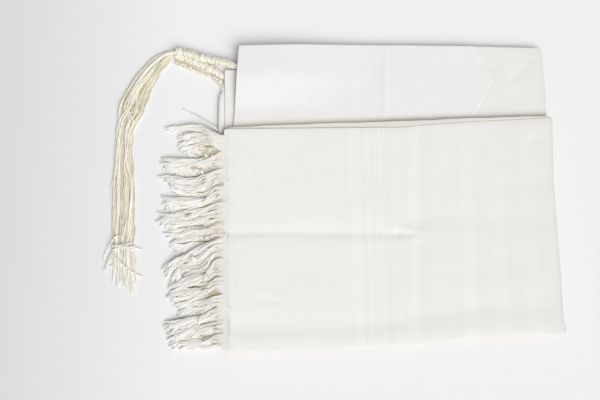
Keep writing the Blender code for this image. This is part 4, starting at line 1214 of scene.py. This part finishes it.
# Strings beside the lower head, and round the corner's side where it is tied on.
STRINGS_BESIDE = (
    (-2322, 1996, 36, -2205, 1954, 24, -2072, 1893, 18, -1939, 1838, 18, -1790, 1800, 22, -1662,
     1775, 36, -1600, 1735, 30),
    (-2308, 1966, 24, -2191, 1922, 13, -2057, 1863, 13, -1924, 1809, 13, -1776, 1772, 16, -1661,
     1747, 26, -1600, 1710, 22),
    (-1760, 1760, 64, -1660, 1710, 66, -1592, 1635, 50, -1585, 1540, 30),
    (-1740, 1720, 46, -1650, 1670, 52, -1605, 1590, 40, -1600, 1500, 26),
)
# Two lower turns between the heads and the strings beside them, painted with shade.
STRINGS_BELOW = (
    (-2290, 2028, 30, -2150, 1990, 28, -2000, 1926, 26, -1880, 1868, 26, -1760, 1822, 30, -1650,
     1790, 34),
    (-2290, 2002, 20, -2150, 1962, 19, -2000, 1900, 19, -1850, 1840, 19, -1700, 1795, 22, -1610,
     1765, 24),
)


def wind_head(yarn, head, chance):
    """A wound head: a core, close windings round it, and a double knot between their runs."""
    route = smooth(head, 1.0 * MM)
    path, radius = route[:, :3], route[:, 3]
    # The core is painted with shade.
    yarn.strand(path, radius * 0.82, 8, 0.55)
    _, side, over = frames_along(path)
    samples = np.linspace(0.0, 1.0, WINDINGS * 16)
    drift = np.array([chance.uniform(-0.15, 0.15) for _ in range(WINDINGS * 3 + 2)])
    uneven = np.interp(samples * WINDINGS * 3, np.arange(WINDINGS * 3 + 2), drift)
    slip = np.interp(samples * WINDINGS, np.arange(WINDINGS + 2), drift[:WINDINGS + 2]) * 3.0
    centre, sides, overs = (
        np.column_stack([np.interp(samples, shares(path), column) for column in rows.T])
        for rows in (path, side, over))
    reach = np.interp(samples, shares(path), radius) * (0.80 + uneven)

    angle = TURN * (WINDINGS * samples + slip)
    around = out_of(sides, overs, angle)
    lean = 1.6 * MM * np.sin(TURN * 6.5 * samples) * np.cos(angle)
    turns = centre + around * reach[:, None] + np.cross(overs, sides) * lean[:, None]
    # Windings that lie closer in, and their undersides, get painted shade.
    low = np.clip(-1.2 * uneven, 0.0, 0.2) + 0.2 * np.clip(-around[:, 2], 0.0, 1.0)
    yarn.plied(lay_on(turns, 1.4 * MM), 0.98 * MM, 2, 4.5 * MM, 5, 0.0, low)
    # A looser run of turns slants the other way over it, so that no ring stays clear.
    around = out_of(sides, overs, -TURN * (0.55 * WINDINGS * samples - 1.4 * slip))
    turns = centre + around * (reach * (1.0 + 0.8 * uneven))[:, None]
    yarn.plied(lay_on(turns, 1.2 * MM), 0.80 * MM, 2, 4.5 * MM)
    add_lumps(yarn, path, radius, HEAD_LUMPS, chance)
    turn = np.linspace(0.0, TURN, 20)
    for place in KNOT_PLACES:
        number = int(place * (len(path) - 1))
        run = unit(path[min(number + 1, len(path) - 1)] - path[max(number - 1, 0)])
        ring = path[number] + out_of(side[number], over[number], turn) * radius[number] * 0.92
        for tilt in (-0.42, 0.42):
            leant = ring + run * (tilt * 4.2 * MM * np.cos(turn))[:, None]
            yarn.plied(lay_on(leant, 1.5 * MM), 1.20 * MM, 2, 6.0 * MM, 6)


def spots_on(path, radius, count, slack, chance):
    """Random places on the upper side of a path: the spot, its radius, and the ways out and on."""
    _, side, over = frames_along(path)
    for _ in range(count):
        number = chance.randrange(2, len(path) - 2)
        out = out_of(side[number], over[number], chance.uniform(-slack, math.pi + slack))
        yield path[number], radius[number], out, unit(path[number + 1] - path[number - 1])


def add_lumps(yarn, path, radius, count, chance):
    """Short bits of yarn that stand up all over a path, so that it looks rough and lumpy."""
    for middle, wide, out, run in spots_on(path, radius, count, 0.5, chance):
        lean = chance.uniform(-1.4, 1.4)
        way = np.cross(out, run) * math.cos(lean) + run * math.sin(lean)
        spot = middle + out * wide * chance.uniform(0.72, 1.18)
        way = way * (chance.uniform(0.7, 2.1) * MM)
        down = out * 0.9 * MM
        bit = lay_on(smooth([spot - way - down, spot, spot + way - down], 0.9 * MM), 1.2 * MM)
        # Each bit gets a random amount of painted shade.
        yarn.strand(bit, chance.uniform(0.55, 1.15) * MM, 6, chance.uniform(0.0, 0.42))


def add_fuzz(yarn, path, radius, count, chance):
    """Fine fibres that stand away from a path all over, so that its outline looks hairy."""
    for middle, wide, out, run in spots_on(path, radius, count, 0.3, chance):
        way = out * chance.uniform(0.3, 0.9) + run * chance.uniform(-1.0, 1.0)
        start = middle + out * wide * 0.95
        end = start + way * chance.uniform(1.8, 3.6) * MM + run * chance.uniform(-1.2, 1.2) * MM
        fibre = smooth([start, start + way * 1.4 * MM, end], 1.2 * MM)
        # The fibres get a little painted shade.
        yarn.strand(lay_on(fibre, 0.5 * MM), 0.26 * MM, 3, 0.25)


def routes_of(table):
    return [smooth(points_of(row), 1.3 * MM) for row in table]


def along_bundle():
    """The bundle's direction at each of its stations."""
    return unit(np.gradient(BUNDLE[:, :2], axis=0))


def string_routes(chance):
    """Sixteen routes down the bundle. At each station they keep apart, but change places."""
    count = len(STRING_ENDS)
    # Rank 0 is on the left or upper side of the bundle.
    ranks = list(range(count))
    chance.shuffle(ranks)
    crossed, routes = [], [[] for _ in range(count)]
    for number, ((x, y, wide), run) in enumerate(zip(BUNDLE, along_bundle())):
        if number == CROSSING:
            crossed = sorted(range(count), key=lambda string: -ranks[string])[2:CROSSED + 2]
            for string in crossed:
                ranks[string] -= 8.5
        # The strings at both sides of the bundle stay there.
        loose = [1.5 * min(1.0, max(rank, 0) / 3.0, abs(count - 1 - rank) / 3.0)
                 for rank in ranks]
        order = sorted(range(count),
                       key=lambda string: ranks[string] + chance.gauss(0.0, loose[string]))
        for rank, string in enumerate(order):
            ranks[string] = rank
            lane = (rank + 0.5) / count * 2.0 - 1.0
            lane = math.copysign(abs(lane) ** 0.85, lane)
            lift = 0.9 * MM * (1.0 - lane * lane) + chance.uniform(-0.3, 0.3) * MM
            if string in crossed and abs(number - CROSSING) < 2:
                lift += 0.6 * MM
            height = (1.6 + 0.22 * string) * MM
            routes[string].append((x + run[1] * wide * lane, y - run[0] * wide * lane,
                                   height * (1.0 - 0.35 * lane * lane) + lift))
    for string, rank in enumerate(ranks):
        end = STRING_ENDS[count - 1 - rank]
        routes[string].append((*(end * 0.45 + np.array(routes[string][-1][:2]) * 0.55), 2.6 * MM))
        routes[string].append((*end, 1.2 * MM))
    return routes


def loose_string(yarn, route, string_shade, chance):
    """A string whose three plies lie loosely beside each other and slowly change places."""
    path = smooth(route, 2.4 * MM)
    _, side, over = frames_along(path)
    share = shares(path)
    start = chance.uniform(0.0, 6.28)
    lay = chance.uniform(2.2, 4.2)
    held = ease(0.0, 0.06, share) * (1.0 - 0.55 * ease(0.79, 0.83, share))
    held = held + 0.9 * ease(0.86, 1.0, share)
    for ply in (0.0, 2.1, 4.2):
        angle = TURN * lay * share + start + ply + 0.9 * np.sin(9.0 * share + 2.0 * ply)
        apart = 1.75 * MM * (0.75 + 0.45 * np.sin(19.0 * share + start + ply))
        body = path + side * (np.cos(angle) * apart * (0.35 + 0.65 * held))[:, None]
        body = lay_on(body + over * (np.sin(angle) * apart * 0.5 * held)[:, None],
                      STRING + 0.15 * MM)
        last = len(path) - chance.randrange(0, 4)
        radii = STRING * (1.0 - 0.15 * ease(0.80, 1.0, share) - 0.3 * ease(0.985, 1.0, share))
        # Painted shade: the string's own amount, less after the first third of its length, and less
        # again at its loose end.
        low = string_shade + chance.uniform(-0.3, 0.3) + 0.06 - 0.10 * ease(0.25, 0.45, share)
        low = np.clip(low * (1.0 - 0.7 * ease(0.84, 0.97, share)), 0.0, 1.0)
        yarn.strand(body[:last], radii[:last], 6, low[:last])


def build_corner_fringes():
    chance = random.Random(7)
    upper, lower = Yarn(), Yarn()
    heads = ((upper, UPPER_HEAD), (lower, LOWER_HEAD))
    for yarn, head in heads:
        wind_head(yarn, head, chance)
    for yarn, head in heads:
        route = smooth(head, 1.0 * MM)
        add_fuzz(yarn, route[:, :3], route[:, 3], HEAD_FIBRES, random.Random(17))
    # A bed of yarn closes the bundle underneath. It is painted with shade.
    for lane in (-0.7, -0.35, 0.0, 0.35, 0.7):
        bed = [(x + lane * wide * turn[1], y - lane * wide * turn[0], 2.2 * MM)
               for (x, y, wide), turn in zip(BUNDLE, along_bundle())]
        lower.strand(smooth(bed, 4.0 * MM), 1.8 * MM, 6, 0.70)
    # Strings that lie lower in the bundle get more painted shade.
    for number, route in enumerate(string_routes(chance)):
        yarn, head = heads[0] if number >= 8 else heads[1]
        start = head[-1][:3] + (0.004, -0.001, 0.0)
        loose_string(yarn, [start] + route, 0.75 - 0.045 * number, chance)
    for path in routes_of(STRINGS_OUT):
        upper.plied(path, 0.95 * MM, 2, 12.0 * MM)
    around = [(-0.2978 + 0.0160 * math.cos(turn),
               -0.0708 - 0.0030 * turn / 6.28 + 0.0012 * math.sin(2.3 * turn),
               max(4.6 * MM + 4.0 * MM * math.sin(turn), 1.2 * MM))
              for turn in np.linspace(0.4, 16.6, 60)]
    upper.plied(smooth(around, 1.5 * MM), 0.80 * MM, 2, 12.0 * MM)
    for path in routes_of(STRINGS_BESIDE):
        path[:, 1] += 0.45 * MM * np.sin(np.arange(len(path)) * 1.9)
        # They are painted with a little shade.
        lower.plied(path, 0.95 * MM, 2, 5.0 * MM, 5, 0.0, 0.3)
        add_lumps(lower, path, np.full(len(path), 1.3 * MM), len(path), chance)
    for path in routes_of(STRINGS_BELOW):
        # These turns are painted with much shade.
        lower.plied(path, 1.6 * MM, 2, 6.0 * MM, 6, 0.0, 0.65)
        add_fuzz(lower, path, np.full(len(path), 1.5 * MM), 60, random.Random(5))
    upper.piece("corner_fringe_upper", string_yarn, "corner_strings", ["tzitzit_upper"])
    lower.piece("corner_fringe_lower", string_yarn, "corner_strings", ["tzitzit_lower"])


# ---- stitches

def build_stitches():
    """Stitches that hold the neck band's folded edge, and the corner's hem."""
    yarn = Yarn()
    inset = 2.2 * MM

    def run(line, height, pitch=3.0 * MM, long=1.9 * MM):
        path = smooth([(*point, 0.0) for point in line], 0.5 * MM)
        steps = lengths(path)
        for start in np.arange(1.0 * MM, steps[-1] - long, pitch):
            stitch = []
            for share, lift in ((0.0, -0.25), (0.2, 0.12), (0.5, 0.20), (0.8, 0.12), (1.0, -0.25)):
                place = [float(np.interp(start + share * long, steps, path[:, axis]))
                         for axis in (0, 1)]
                stitch.append((*place, height(*place) + lift * MM))
            yarn.strand(stitch, 0.16 * MM, sides=4)

    def band_height(x, y):
        return BAND_TOP + float(neck_top(np.array([x]), np.array([y]))[0]) - 0.05 * MM

    for start, end, count in ((0.104, 0.1685, 12), (0.1715, 0.2175, 10)):
        run([(float(read(BAND_POINT, y)) - inset, y) for y in np.linspace(start, end, count)],
            band_height)
    run([(x, float(read(NECK_BACK, x)) - inset - 0.8 * MM) for x in np.linspace(-0.131, 0.205, 30)],
        band_height)
    run([(x, CORNER_HEM - 7.2 * MM) for x in np.linspace(-0.1565, -0.1410, 6)],
        lambda x, y: CORNER_REST + 1.8 * MM, 2.4 * MM, 1.5 * MM)
    yarn.piece("seam_stitches", fringe_yarn, "shawl_cloth")


# ---- the whole

add_camera()
add_surroundings()
top_cloth = build_top_cloth()
neck_cloth = build_neck_cloth()
neck_band = build_neck_band()
corner_cloth = build_corner_cloth()
rolled_cloth = build_rolled_cloth()
build_layers()
build_edge_fringe()
build_corner_fringes()
build_stitches()
